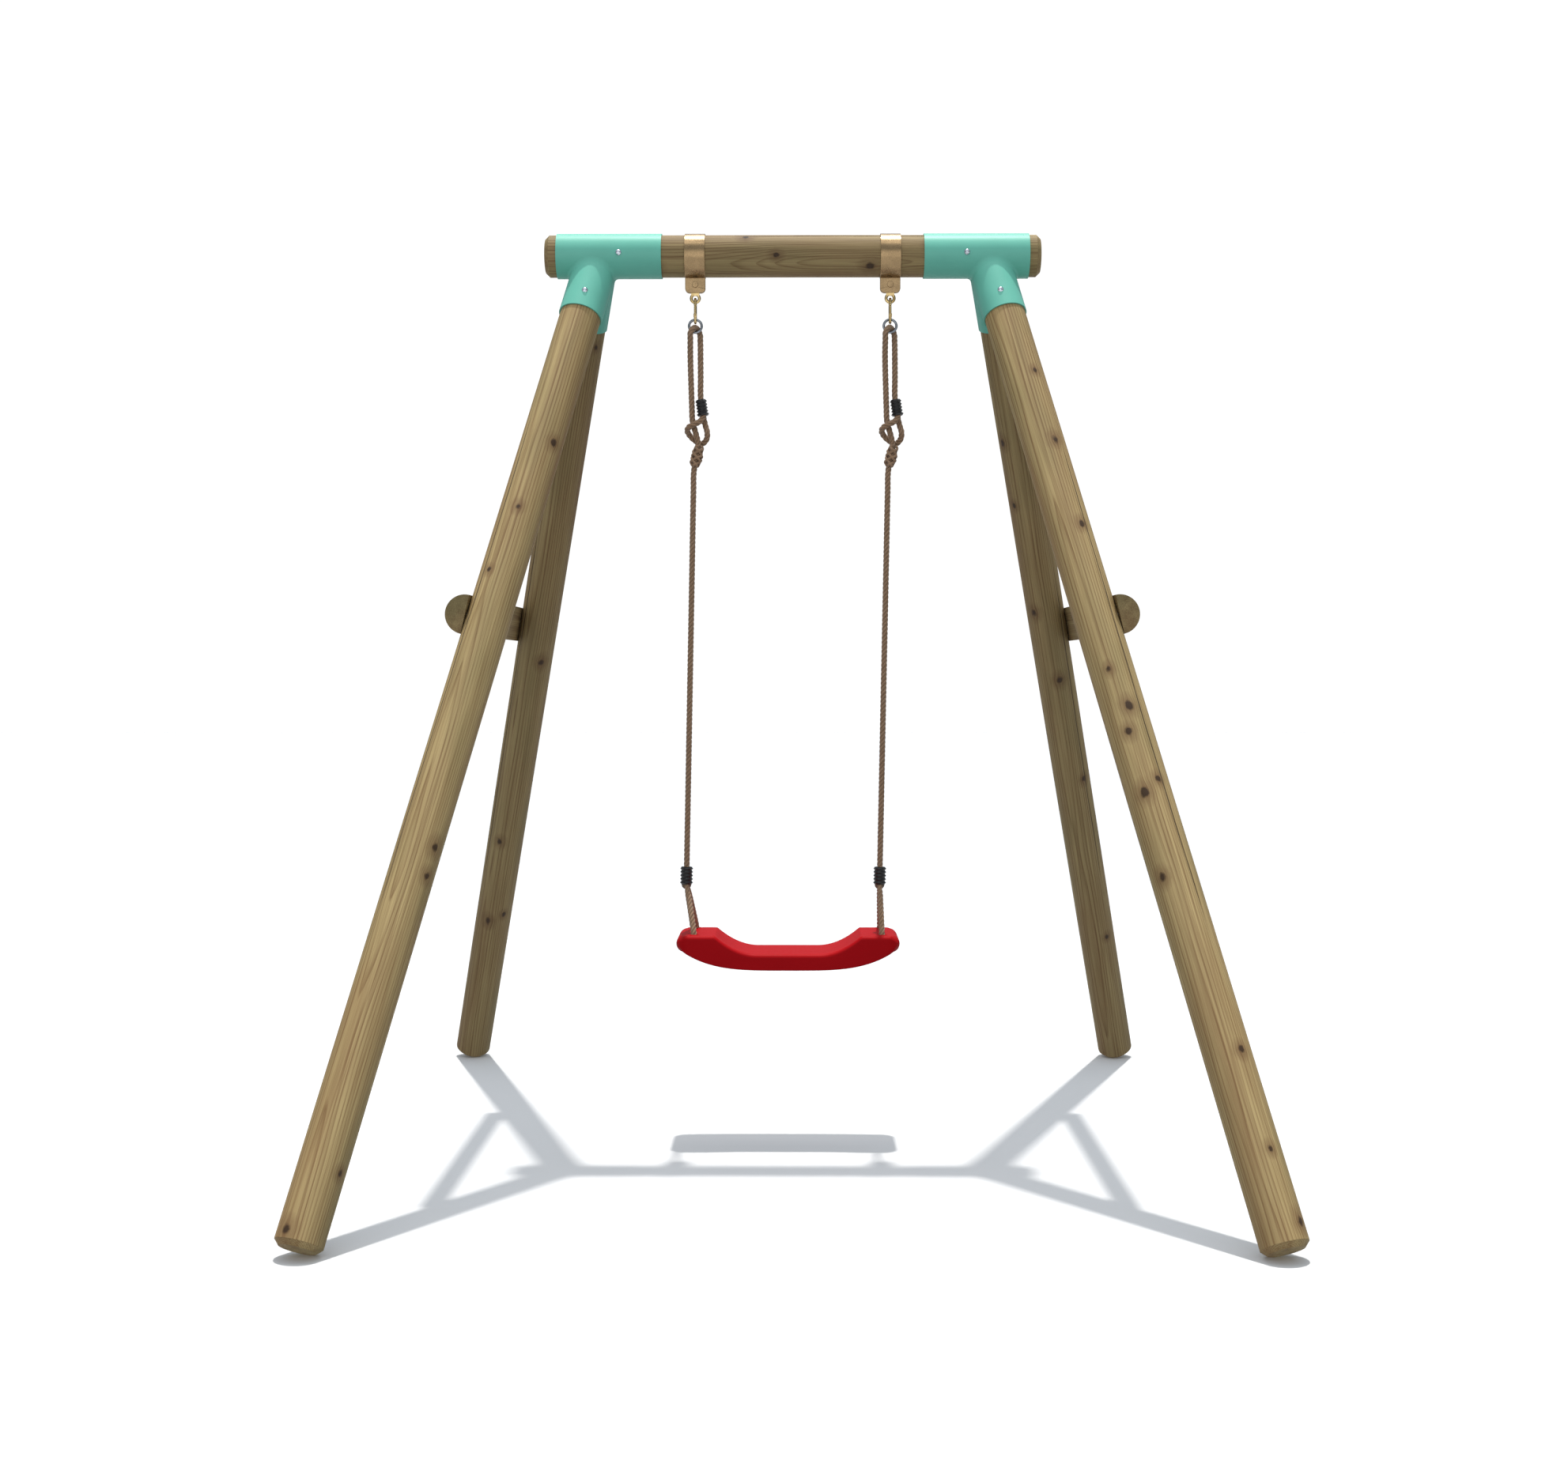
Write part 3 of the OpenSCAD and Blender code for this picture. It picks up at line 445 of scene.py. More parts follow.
    # drying checks: painted shade darkens them within about 1.5 mm of their middle line
    check = add(t, "ShaderNodeAttribute", attribute_name="check", out="Fac")
    gap = add(t, "ShaderNodeMath", {0: check}, operation="ABSOLUTE")
    rough = add(t, "ShaderNodeMath", {0: fibre, 1: 0.0009, 2: gap}, operation="MULTIPLY_ADD")
    gap = add(t, "ShaderNodeMapRange", {0: rough, 1: 0.0021, 2: 0.0011, 4: 0.9})
    # the last tone, #3a2c1c, is painted shade in the drying checks
    for amount, tone in ((damp, shade(linear("#6f6a42"), light)),
            (blush, shade(linear("#86603c"), light)), (halo, shade(linear("#66462a"), light)),
            (core, heart), (gap, shade(linear("#3a2c1c"), light))):
        colour = add(t, "ShaderNodeMix", {0: amount, 6: colour, 7: tone}, out=2,
            data_type="RGBA")
    t.links.new(colour, shader.inputs["Base Color"])
    height = add(t, "ShaderNodeMath", {0: gap, 1: -6.0, 2: fibre}, operation="MULTIPLY_ADD")
    height = add(t, "ShaderNodeMath", {0: ring, 1: 0.4, 2: height}, operation="MULTIPLY_ADD")
    normal = add(t, "ShaderNodeBump", {"Height": height, "Strength": 0.5, "Distance": 0.0005})
    t.links.new(normal, shader.inputs["Normal"])
    return material


def powder_coat(colours):
    """Powder-coated steel tube: a smooth satin skin with fine orange peel, clouded a little
    paler and darker over 45 mm."""
    material, t, shader = finish_named("powder_coated_steel", Roughness=0.42)
    shader.inputs["Specular IOR Level"].default_value = 0.2
    spot = add(t, "ShaderNodeTexCoord", out="Object")
    cloud = add(t, "ShaderNodeTexNoise", {"Vector": spot, "Scale": 22.0, "Detail": 3.0})
    colour = add(t, "ShaderNodeMix", {0: cloud, 6: shade(colours.powder, 0.93),
        7: shade(colours.powder, 1.06)}, out=2, data_type="RGBA")
    t.links.new(colour, shader.inputs["Base Color"])
    # orange peel: 1.6 mm dimples, coarser than real ones so that they show
    peel = add(t, "ShaderNodeTexNoise", {"Vector": spot, "Scale": 620.0, "Detail": 1.0})
    normal = add(t, "ShaderNodeBump", {"Height": peel, "Strength": 0.12, "Distance": 0.0003})
    t.links.new(normal, shader.inputs["Normal"])
    return material


def plated(name, base, other, roughness):
    """Zinc-plated pressed steel: a metal skin with passivation tints in clouds 18 mm wide and
    fine marks 2.4 mm apart, so that highlights break up."""
    material, t, shader = finish_named(name, Metallic=1.0)
    spot = add(t, "ShaderNodeTexCoord", out="Object")
    cloud = add(t, "ShaderNodeTexNoise", {"Vector": spot, "Scale": 55.0, "Detail": 4.0})
    cloud = add(t, "ShaderNodeMapRange", {0: cloud, 1: 0.35, 2: 0.65})
    colour = add(t, "ShaderNodeMix", {0: cloud, 6: base, 7: other}, out=2, data_type="RGBA")
    t.links.new(colour, shader.inputs["Base Color"])
    fine = add(t, "ShaderNodeTexNoise", {"Vector": spot, "Scale": 420.0, "Detail": 3.0})
    level = add(t, "ShaderNodeMapRange", {0: fine, 1: 0.3, 2: 0.7, 3: roughness - 0.06,
        4: roughness + 0.08})
    t.links.new(level, shader.inputs["Roughness"])
    normal = add(t, "ShaderNodeBump", {"Height": fine, "Strength": 0.04, "Distance": 0.0001})
    t.links.new(normal, shader.inputs["Normal"])
    return material


def laid_rope(name, colours):
    """Laid polypropylene rope with a hemp look: fibres wound along each strand, painted shade
    darkening the grooves between the strands, and bleached on the crowns."""
    material, t, shader = finish_named(name, Roughness=0.82)
    shader.inputs["Sheen Weight"].default_value = 0.25
    lay = add(t, "ShaderNodeAttribute", attribute_name="lay", out="Vector")
    crown = add(t, "ShaderNodeAttribute", attribute_name="crown", out="Fac")
    # fibre bundles 0.7 mm across and 11 mm long, bleached in patches of 17 mm
    fibre = add(t, "ShaderNodeVectorMath", {0: lay, 1: (1400.0, 1400.0, 90.0)},
        operation="MULTIPLY")
    fibre = add(t, "ShaderNodeTexNoise", {"Vector": fibre, "Scale": 1.0, "Detail": 3.0})
    patch = add(t, "ShaderNodeTexNoise", {"Vector": lay, "Scale": 60.0, "Detail": 2.0})
    deep, bright = shade(colours.rope, 0.35), shade(colours.rope, 1.7)
    colour = add(t, "ShaderNodeMix", {0: fibre, 6: deep, 7: bright}, out=2, data_type="RGBA")
    faded = add(t, "ShaderNodeMapRange", {0: patch, 1: 0.35, 2: 0.7, 4: 0.35})
    colour = add(t, "ShaderNodeMix", {0: faded, 6: colour, 7: linear("#a78b70")}, out=2,
        data_type="RGBA")
    # painted shade: #3f3726 darkens the grooves between the strands, by how far in a corner lies
    groove = add(t, "ShaderNodeMapRange", {0: crown, 1: 0.9, 2: 0.79, 4: 0.72})
    colour = add(t, "ShaderNodeMix", {0: groove, 6: colour, 7: linear("#3f3726")}, out=2,
        data_type="RGBA")
    t.links.new(colour, shader.inputs["Base Color"])
    normal = add(t, "ShaderNodeBump", {"Height": fibre, "Strength": 0.6, "Distance": 0.0006})
    t.links.new(normal, shader.inputs["Normal"])
    return material


def moulded(name, base, roughness, peel_scale=420.0, peel=0.08, gloss=0.25):
    """Moulded plastic: even colour with faint flow marks 40 mm wide and 110 mm long, dull
    scuffs of 8 mm, and orange peel of peel_scale dimples to the metre."""
    material, t, shader = finish_named(name)
    shader.inputs["Specular IOR Level"].default_value = gloss
    spot = add(t, "ShaderNodeTexCoord", out="Object")
    flow = add(t, "ShaderNodeVectorMath", {0: spot, 1: (9.0, 26.0, 26.0)}, operation="MULTIPLY")
    flow = add(t, "ShaderNodeTexNoise", {"Vector": flow, "Scale": 1.0, "Detail": 3.0})
    colour = add(t, "ShaderNodeMix", {0: flow, 6: shade(base, 0.9), 7: shade(base, 1.1)}, out=2,
        data_type="RGBA")
    t.links.new(colour, shader.inputs["Base Color"])
    scuff = add(t, "ShaderNodeTexNoise", {"Vector": spot, "Scale": 130.0, "Detail": 5.0,
        "Roughness": 0.7})
    level = add(t, "ShaderNodeMapRange", {0: scuff, 1: 0.4, 2: 0.75, 3: roughness,
        4: roughness + 0.08})
    t.links.new(level, shader.inputs["Roughness"])
    dimple = add(t, "ShaderNodeTexNoise", {"Vector": spot, "Scale": peel_scale, "Detail": 1.0})
    normal = add(t, "ShaderNodeBump", {"Height": dimple, "Strength": peel, "Distance": 0.0003})
    t.links.new(normal, shader.inputs["Normal"])
    return material


MADE = {}


def finish_of(context, key):
    """Each finish is made once, when a piece first asks for it, and kept in MADE."""
    colours = context.scene.swing_colours
    if key not in MADE:
        MADE[key] = {
            "powder": lambda: powder_coat(colours),
            "yellow_zinc": lambda: plated("yellow_zinc_plated_steel",
                shade(colours.yellow_zinc, 0.9), shade(colours.yellow_zinc, 1.08), 0.3),
            "gold": lambda: plated("yellow_zinc_plated_wire", linear("#9a8256"),
                linear("#c2ab7c"), 0.24),
            "zinc": lambda: plated("bright_zinc_plated_steel", shade(colours.zinc, 0.75),
                shade(colours.zinc, 1.2), 0.27),
            "rope": lambda: laid_rope("laid_polypropylene_rope", colours),
            "ring": lambda: plated("dull_zinc_plated_wire", shade(colours.zinc, 0.3),
                shade(colours.zinc, 0.5), 0.33),
            "crimp": lambda: moulded("moulded_polypropylene_sleeve", colours.crimp, 0.36,
                gloss=0.4),
            "seat": lambda: moulded("blow_moulded_polyethylene_seat", colours.seat, 0.48,
                260.0, 0.015, 0.05),
        }[key]()
    return MADE[key]


# ---------- pieces ----------

# Knots on each pole: distance along it in mm, then degrees round it from its front.
LEG_KNOTS = {
    "front_left": [(753, 31), (1295, -51), (1348, -51), (1868, -58), (1972, 30), (459, -40),
        (614, 3), (560, 160), (990, 200), (1430, 140), (1700, 215), (1120, 110)],
    "front_right": [(306, -29), (466, -28), (654, -29), (955, 15), (1033, -8), (1081, 13),
        (1179, -26), (1198, 19), (1354, 37), (1673, -28), (1838, -26), (1957, -51),
        (520, 170), (880, 150), (1500, 200), (1760, 140)],
    "rear_left": [(177, -50), (897, -34), (1367, 10), (1567, -42), (1587, 8), (640, 165),
        (1120, 190), (1480, 150), (1820, 205)],
    "rear_right": [(526, 54), (776, 44), (1205, -33), (1637, -26), (943, -2), (385, 61),
        (700, 180), (1330, 150), (1520, 200), (1880, 165)],
}
BEAM_KNOTS = [(128, -28), (215, 44), (395, -52), (455, 8), (640, 38), (760, -20), (870, 60),
    (300, 175), (560, 200), (820, 150)]


def pole(name, node, material, origin, direction, towards, start, stop, radius, chamfers, knots,
        checks, sizes, keep=None):
    """A round pole: corner (s, a) is origin + s d + r(s, a) (cos a e1 + sin a e2), where r falls
    in a straight line over each end's chamfer, swells by up to 0.5 mm at each knot, dips by up
    to 1.2 mm in each drying check, and wanders by 0.2 mm along the pole. The grain layer holds
    each corner's place square to and along the pole, drawn in towards the knots. 'keep' cuts
    the pole flat that far in front of or behind the swing's middle. A check is (degrees round,
    where it starts, where it stops, radians it turns in each metre)."""
    d, e1, e2 = across(direction, towards)
    a = full_turn(144)
    c0, c1 = chamfers
    body = np.linspace(start + c0, stop - c1, 430)
    end_face = (0.02, 0.5, 0.9, 1.0)
    low = [(start, f * (radius - c0)) for f in end_face]
    high = [(stop, f * (radius - c1)) for f in reversed(end_face)]
    s = np.array([p[0] for p in low] + body.tolist() + [p[0] for p in high])
    r = np.array([p[1] for p in low] + [radius] * len(body) + [p[1] for p in high])
    S, A = np.meshgrid(s, a, indexing="ij")
    R = np.repeat(r[:, None], len(a), 1)
    side = np.repeat((r > radius - 1e-6)[:, None], len(a), 1)
    nearest, pull = np.full(S.shape, 9.0), np.zeros(S.shape)
    for index, (at, turned) in enumerate(knots):
        span = sizes.knot_size * (0.75 + 0.5 * ((index * 37) % 10) / 10)
        arc = radius * ((A - math.radians(turned) + math.pi) % (2 * math.pi) - math.pi)
        far = np.sqrt((arc / span) ** 2 + ((S - at * MM) / (1.25 * span)) ** 2)
        nearest = np.minimum(nearest, far)
        pull -= arc * 0.75 * np.exp(-((far / 1.7) ** 2))
    R = R + side * (0.5 * MM * np.exp(-((nearest / 1.1) ** 2))
        - 0.15 * MM * np.exp(-((nearest / 2.6) ** 2)))
    R = R - side * 0.12 * MM * (1 + np.sin(9.1 * S + 2 * A) * np.cos(3.7 * S - A))
    crack = np.full(S.shape, 0.05)
    for at, first, last, lean in checks:
        middle = math.radians(at) + lean * (S - first) + 0.035 * np.sin(7.3 * S) + 0.012 * np.sin(
            31 * S)
        arc = radius * ((A - middle + math.pi) % (2 * math.pi) - math.pi)
        fade = np.clip(np.minimum(S - first, last - S) / 0.12, -1, 1)
        arc = np.abs(arc) + (1 - fade) * 1.2 * MM
        crack = np.minimum(crack, arc)
    R = R - side * 1.2 * MM * np.exp(-((crack / (1.6 * MM)) ** 2))
    rings = (np.array(origin) + S[..., None] * d
        + R[..., None] * (np.cos(A)[..., None] * e1 + np.sin(A)[..., None] * e2))
    if keep:
        y = rings[..., 1]
        rings[..., 1] = np.minimum(y, -keep) if d[1] < 0 else np.maximum(y, keep)
    shift = A + pull / radius
    grain = np.stack([R * np.cos(shift), R * np.sin(shift), S], -1).reshape(-1, 3)
    obj = piece(name, skin(rings), material, {
        "grain": with_caps(grain), "knot": with_caps(nearest.reshape(-1)),
        "check": with_caps(crack.reshape(-1))}, sharp=25)
    return place(obj, node)


def leg_line(end, side):
    """Where a leg's middle line starts, its own length above its foot, and its direction."""
    foot = FEET[f"{end}_{side}_foot"]
    d = np.array(foot["axis"], float)
    return np.array(foot["pos_m"]) - LEG_LENGTH * d / np.linalg.norm(d), d


class SWING_OT_camera(bpy.types.Operator):
    """Camera that takes in the whole swing from the front"""
    bl_idname = "swing.camera"
    bl_label = "Camera"

    def execute(self, context):
        data = bpy.data.cameras.new("camera")
        data.sensor_width, data.sensor_fit, data.lens = 36.0, "HORIZONTAL", 47.92
        data.clip_start, data.clip_end = 0.05, 60.0
        camera = bpy.data.objects.new("camera", data)
        context.scene.collection.objects.link(camera)
        camera.location = (0.01184, -4.1510, 0.9208)
        camera.rotation_euler = (math.pi / 2 - 0.031405, 0.0, 0.006993)
        context.scene.camera = camera
        return {"FINISHED"}


# Route of a hanging rope in mm, in its ring's own frame: up from the lower sleeve, through the
# knot, round the ring and back down through the upper sleeve, then tucked round itself.
ROPE_ROUTE = [(2, 0, -1084), (2, 0, -1040), (2, 0, -980), (2, 0, -900), (2, 0, -800),
    (2, 0, -700), (2, 0, -600), (2, 0, -500), (2, 0, -400), (2, 0, -320), (2, 0, -290),
    (4, 0, -272), (8, 0, -256), (10, 0, -240), (8, 0, -224), (3, 0, -206), (-2, 0, -188),
    (-4, 0, -160), (-6, 0, -120), (-8, 0, -80), (-9, -3, -48), (-9, -8, -28),
    (-8.6, -10.2, -13.5), (-4, -6.6, -5.4), (0, 0, -2.9), (4, 6.6, -5.4), (8.6, 10.2, -13.5),
    (10, 9, -30), (11, 7, -60), (12, 6.6, -100), (13, 6.4, -142), (18.8, 6.4, -178),
    (23, 6, -194), (27, 3, -208), (26, 7, -221), (17, 12, -230), (3, 14, -224),
    (-9, 11, -213), (-12.4, 0, -206), (-8, -12, -200), (3, -13, -194), (13.5, -9.5, -188),
    (18.9, -6.4, -178.5), (15.9, -6.4, -160)]


def hung(points, side):
    """Points of a hanging rope's frame, turned by its lean about the ring and moved to it."""
    p = np.array(points, float) * MM
    c, s = math.cos(HANG_LEAN), math.sin(HANG_LEAN)
    return np.stack([SIDES[side] * HANGER_X + p[:, 0] * c + p[:, 2] * s, p[:, 1],
        RING_Z - p[:, 0] * s + p[:, 2] * c], -1)


class SWING_OT_ropes(bpy.types.Operator):
    """Two hanging ropes and the two loops that carry the seat"""
    bl_idname = "swing.ropes"
    bl_label = "Ropes"

    def execute(self, context):
        lay = context.scene.swing_sizes.rope_lay
        material = finish_of(context, "rope")
        for side, sign in SIDES.items():
            path = smooth_line(hung(ROPE_ROUTE, side), 2.4 * MM)
            self.laid(f"{side}_hanging_rope", f"{side}_rope", path,
                tube(path, ROPE_R, (0, 1, 0), 40, lay, 4), material,
                [f"{side}_woven_knot", f"{side}_upper_crimp", f"{side}_lower_crimp"])
            path = self.loop_route(side, SEAT_X + sign * HOLE_X)
            self.laid(f"{side}_seat_rope", f"{side}_seat_loop", path,
                tube(path, ROPE_R, (1, 0, 0), 36, lay, 4, self.pinched), material,
                [f"{side}_loop_bundle"])
        return {"FINISHED"}

    def laid(self, name, node, path, surface, material, with_pieces):
        """A taut cord whose both ends go into the object."""
        rings, layer, depth = surface
        rope = piece(name, skin(rings), material,
            {"lay": with_caps(layer), "crown": with_caps(depth)})
        place(rope, node)

    def loop_route(self, side, x):
        """From the crimped ends down to the front hole, under the seat, and up from the rear
        hole, with each corner rounded."""
        top = np.array(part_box(f"{side}_loop_bundle")).mean(0)
        above, below = 413 * MM, 379 * MM
        points = [top + np.array([0, -4, 3]) * MM, (x, -HOLE_Y, above), (x, -HOLE_Y, below),
            (x, HOLE_Y, below), (x, HOLE_Y, above), top + np.array([0, 4, 3]) * MM]
        return smooth_line(rounded_corners(points, 13 * MM), 2.2 * MM)

    def pinched(self, s, total):
        """The loop's width: 0.72 of the rope at its crimped ends, all of it 26 mm further on."""
        return 0.72 + 0.28 * np.clip(np.minimum(s, total - s) / (26 * MM), 0, 1)


class SWING_OT_timber(bpy.types.Operator):
    """Crossbeam, four legs and two half-round braces"""
    bl_idname = "swing.timber"
    bl_label = "Timber"

    def execute(self, context):
        sizes, colours = context.scene.swing_sizes, context.scene.swing_colours
        half = float(BEAM_HIGH[0])
        # the beam's paleness factor, 0.82, is set to how brightly it is lit, so it paints its light
        # and shade
        pole("round_beam", "crossbeam", pine("turned_pine_beam", sizes, colours, 3.7, 0.82, 0.035),
            (-half, 0, BEAM_Z), (1, 0, 0), (0, -1, 0), 0.0, 2 * half, BEAM_R,
            (8 * MM, 8 * MM), BEAM_KNOTS, [(-62, 0.3, 0.93, 0.1), (150, 0.05, 0.6, -0.1)], sizes)
        # painted light and shade: the front legs are made paler as if lit, the rear legs darker as
        # if shaded
        lights = {"front_left": 1.08, "front_right": 1.1, "rear_left": 0.82, "rear_right": 0.84}
        for number, (key, knots) in enumerate(LEG_KNOTS.items()):
            end, side = key.split("_")
            origin, d = leg_line(end, side)
            material = pine(f"turned_pine_{key}_leg", sizes, colours, 11.3 + 5.1 * number,
                lights[key])
            checks = [(48 if side == "left" else -44, 0.35 + 0.1 * number, 1.5, 0.12),
                (175, 0.6, 1.9, -0.08)]
            pole(f"{key}_round_leg", f"{key}_leg", material, origin, d, (0, -1, 0), 68 * MM,
                LEG_LENGTH, LEG_R, (1 * MM, 9 * MM), knots, checks, sizes, keep=1.55 * MM)
        for side, sign in SIDES.items():
            low, high = (np.array(corner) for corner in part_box(f"{side}_cross_brace"))
            heart = (low + high) / 2 - np.array([sign * 0.02, 0, 0.0])

            def layers(co, heart=heart):
                """The grain runs fore and aft about the log's heart; no knot or check is near."""
                return {"grain": (co - heart)[:, [0, 2, 1]], "knot": np.full(len(co), 9.0),
                    "check": np.full(len(co), 0.05)}

            # the brace's paleness factor, 0.74, is set to how brightly it is lit, so it paints its
            # shade
            cad_copy(f"{side}_half_round_brace", f"{side}_cross_brace",
                pine(f"sawn_pine_{side}_brace", sizes, colours, 41.0 + 3 * sign, 0.74),
                sizes.brace_bevel, 40, layers)
        return {"FINISHED"}


def blend_strip(axis_point, d, tube_r, beam_r, width, keep_side):
    """Weld blend between a leg's tube and the beam's tube. At angle a round the leg the tubes
    meet at s, the larger root of |leg surface point - beam axis| = beam radius. The skin is a
    quadratic curve from the leg's surface at s + width, past the meeting point, to the point
    on the beam's tube 'width' away; its back is a point 2 mm inside the metal. Both its edges
    lie 0.05 mm above the tubes, and only the side that faces keep_side is kept."""
    d, e1, e2 = across(d, (0, keep_side, 0))
    a = np.linspace(-math.pi, math.pi, 721)
    out = spokes(a, e1, e2)
    base = np.array(axis_point) + tube_r * out
    rel = base - np.array([0, 0, BEAM_Z])
    qa = d[1] ** 2 + d[2] ** 2
    qb = 2 * (rel[:, 1] * d[1] + rel[:, 2] * d[2])
    qc = rel[:, 1] ** 2 + rel[:, 2] ** 2 - beam_r ** 2
    root = qb ** 2 - 4 * qa * qc
    s = (-qb + np.sqrt(np.maximum(root, 0))) / (2 * qa)
    meet = base + s[:, None] * d
    keep = (meet[:, 1] * keep_side > -0.2 * MM) & (root > 0)
    meet, out = meet[keep], out[keep]
    radial = meet * [0, 1, 1] - [0, 0, BEAM_Z]
    radial /= np.linalg.norm(radial, axis=1)[:, None]
    along = out - (out * radial).sum(1)[:, None] * radial
    along /= np.linalg.norm(along, axis=1)[:, None] + 1e-9
    lift = 0.05 * MM
    leg_point = meet + width * d + lift * out
    beam_point = meet + width * along
    spoke = beam_point * [0, 1, 1] - [0, 0, BEAM_Z]
    spoke *= (beam_r + lift) / np.linalg.norm(spoke, axis=1)[:, None]
    beam_point = spoke + beam_point * [1, 0, 0] + [0, 0, BEAM_Z]
    t = np.linspace(0, 1, 9)[None, :, None]
    face = ((1 - t) ** 2 * leg_point[:, None] + 2 * t * (1 - t) * (meet + 0.3 * MM * (out
        + radial))[:, None] + t ** 2 * beam_point[:, None])
    back = meet - 2 * MM * (out + radial)
    return skin(np.concatenate([face, back[:, None]], 1))


class SWING_OT_brackets(bpy.types.Operator):
    """Three-way steel brackets with blended welds, and their domed screws"""
    bl_idname = "swing.brackets"
    bl_label = "Brackets"

    def execute(self, context):
        sizes = context.scene.swing_sizes
        powder, zinc = finish_of(context, "powder"), finish_of(context, "zinc")
        for side in SIDES:
            cad_copy(f"{side}_bracket_tubes", f"{side}_bracket", powder, 0.7 * MM, 40)
            strips = []
            for end, sign in ENDS.items():
                origin, d = leg_line(end, side)
                strips.append(blend_strip(origin, d, LEG_TUBE_R, BEAM_TUBE_R, sizes.fillet, sign))
            weld = piece(f"{side}_bracket_welds", joined(strips), powder, sharp=60, weld=True)
            ride_only(weld, "frame")
            cad_copy(f"{side}_domed_screws", f"{side}_bracket_screws", zinc, 0.3 * MM, 50)
            dress(f"{side}_brace_screws", zinc)
        return {"FINISHED"}


class SWING_OT_hangers(bpy.types.Operator):
    """Straps, bolts, eyes, snap hooks and rings that hold the ropes"""
    bl_idname = "swing.hangers"
    bl_label = "Hangers"

    def execute(self, context):
        sizes = context.scene.swing_sizes
        strap_zinc, gold, zinc = (finish_of(context, k) for k in ("yellow_zinc", "gold", "zinc"))
        for side, sign in SIDES.items():
            x = sign * HANGER_X
            cad_copy(f"{side}_beam_strap", f"{side}_strap", strap_zinc,
                sizes.plate_bevel, 40)
            cad_copy(f"{side}_strap_screw", f"{side}_strap_bolt", strap_zinc,
                0.6 * MM, 40)
            cad_copy(f"{side}_strap_hex_nut", f"{side}_strap_nut", zinc, 0.5 * MM, 40)
            cad_copy(f"{side}_forged_eye", f"{side}_eye", gold, 0.8 * MM, 50)
            dress(f"{side}_gate_pin", zinc)
            cad_copy(f"{side}_hook_gate", f"{side}_gate", gold, 0.3 * MM, 40)
            self.hook(side, x, gold)
            self.ring(side, finish_of(context, "ring"))
        return {"FINISHED"}

    def hook(self, side, x, material):
        """One wire, swept round the lower bend, up the back and round the upper bend; two
        cheeks carry the gate's pin."""
        low_z, pin_z, wire_r, out = SWING_Z - 34 * MM, SWING_Z - 26.5 * MM, 2.7 * MM, 9 * MM
        a = np.linspace(0, math.pi, 9)
        half_turn = np.stack([np.cos(a), np.sin(a)], -1)
        low = -6.05 * half_turn * MM + [0, low_z]
        high = 6.55 * half_turn * MM + [0, SWING_Z]
        spine = np.array([(8.7 * MM, low_z + 6 * MM), (out, low_z + 12 * MM),
            (out, SWING_Z - 12 * MM), (8.7 * MM, SWING_Z - 6 * MM)])
        nose = np.array([(-8.2 * MM, SWING_Z - 5 * MM), (-out, SWING_Z - 8.3 * MM)])
        start = np.array([(-out, pin_z + 0.5 * MM), (-8.1 * MM, pin_z - 4 * MM)])
        yz = np.vstack([start, low, spine, high, nose])
        path = smooth_line(np.column_stack([np.full(len(yz), x), yz]), 1.0 * MM)
        rings, _, _ = tube(path, wire_r, (1, 0, 0), 28, scale=self.rounded_end)
        parts = [skin(rings)]
        thick = 1.7 * MM
        cheek = [(0.0, 0.2 * MM), (0.0, 3.2 * MM), (0.4 * MM, 3.6 * MM),
            (1.3 * MM, 3.6 * MM), (thick, 3.2 * MM), (thick, 0.2 * MM)]
        for inner in (-1.5 * MM - thick, 1.5 * MM):
            parts.append(skin(revolved(cheek, (x + inner, -out, pin_z), (1, 0, 0), 32)))
        obj = piece(f"{side}_snap_hook", joined(parts), material, sharp=60)
        place(obj, f"{side}_hook")

    def rounded_end(self, s, total):
        """The wire's width over its last 1.2 mm, as the root of the length from its end."""
        return np.sqrt(np.clip((np.minimum(s, total - s) + 0.4 * MM) / (1.6 * MM), 0.05, 1))

    def ring(self, side, material):
        """Torus of 5 mm wire, 25 mm across its middle, with a small swell at the weld."""
        a, b = full_turn(96)[:, None], full_turn(24)
        gauge = 2.5 * MM * (1 + 0.12 * np.exp(-((a - 2.2) / 0.09) ** 2))
        reach = 12.5 * MM + gauge * np.cos(b)
        local = np.stack([reach * np.cos(a), gauge * np.sin(b), reach * np.sin(a)], -1)
        rings = hung(local.reshape(-1, 3) / MM, side).reshape(local.shape)
        obj = piece(f"{side}_rope_ring", skin(rings, loop=True), material, weld=True)
        place(obj, f"{side}_ring")


def braid(middle, axis, half, base_r, strand_r, strands, turns):
    """Strands wound both ways round an axis: strand j is at angle +-2 pi turns s / length + its
    own start, and its distance from the axis is base_r +- wave cos(crossing angle), so that
    each goes over and under those of the other hand, and falls in at both ends."""
    d, e1, e2 = across(axis, (0.2, -1, 0))
    parts, layers, depths = [], [], []
    s = np.linspace(-half, half, 90)
    for hand in (-1, 1):
        for j in range(strands):
            start = 2 * math.pi * (j + 0.25 * hand) / strands
            angle = hand * 2 * math.pi * turns * s / (2 * half) + start
            wave = 0.42 * strand_r * hand * np.cos(
                strands * 2 * math.pi * turns * s / (2 * half) + math.pi * j)
            fall = np.clip((half - np.abs(s)) / (0.16 * 2 * half), 0, 1)
            fall = np.sqrt(1 - (1 - fall) ** 2)
            r = (base_r + wave) * (0.62 + 0.38 * fall)
            path = (np.array(middle) + s[:, None] * d + (r * np.cos(angle))[:, None] * e1
                + (r * np.sin(angle))[:, None] * e2)
            rings, layer, depth = tube(path, strand_r, d, 14)
            parts.append(skin(rings))
            layers.append(with_caps(layer))
            depths.append(with_caps(depth))
    return joined(parts), np.vstack(layers), np.concatenate(depths)


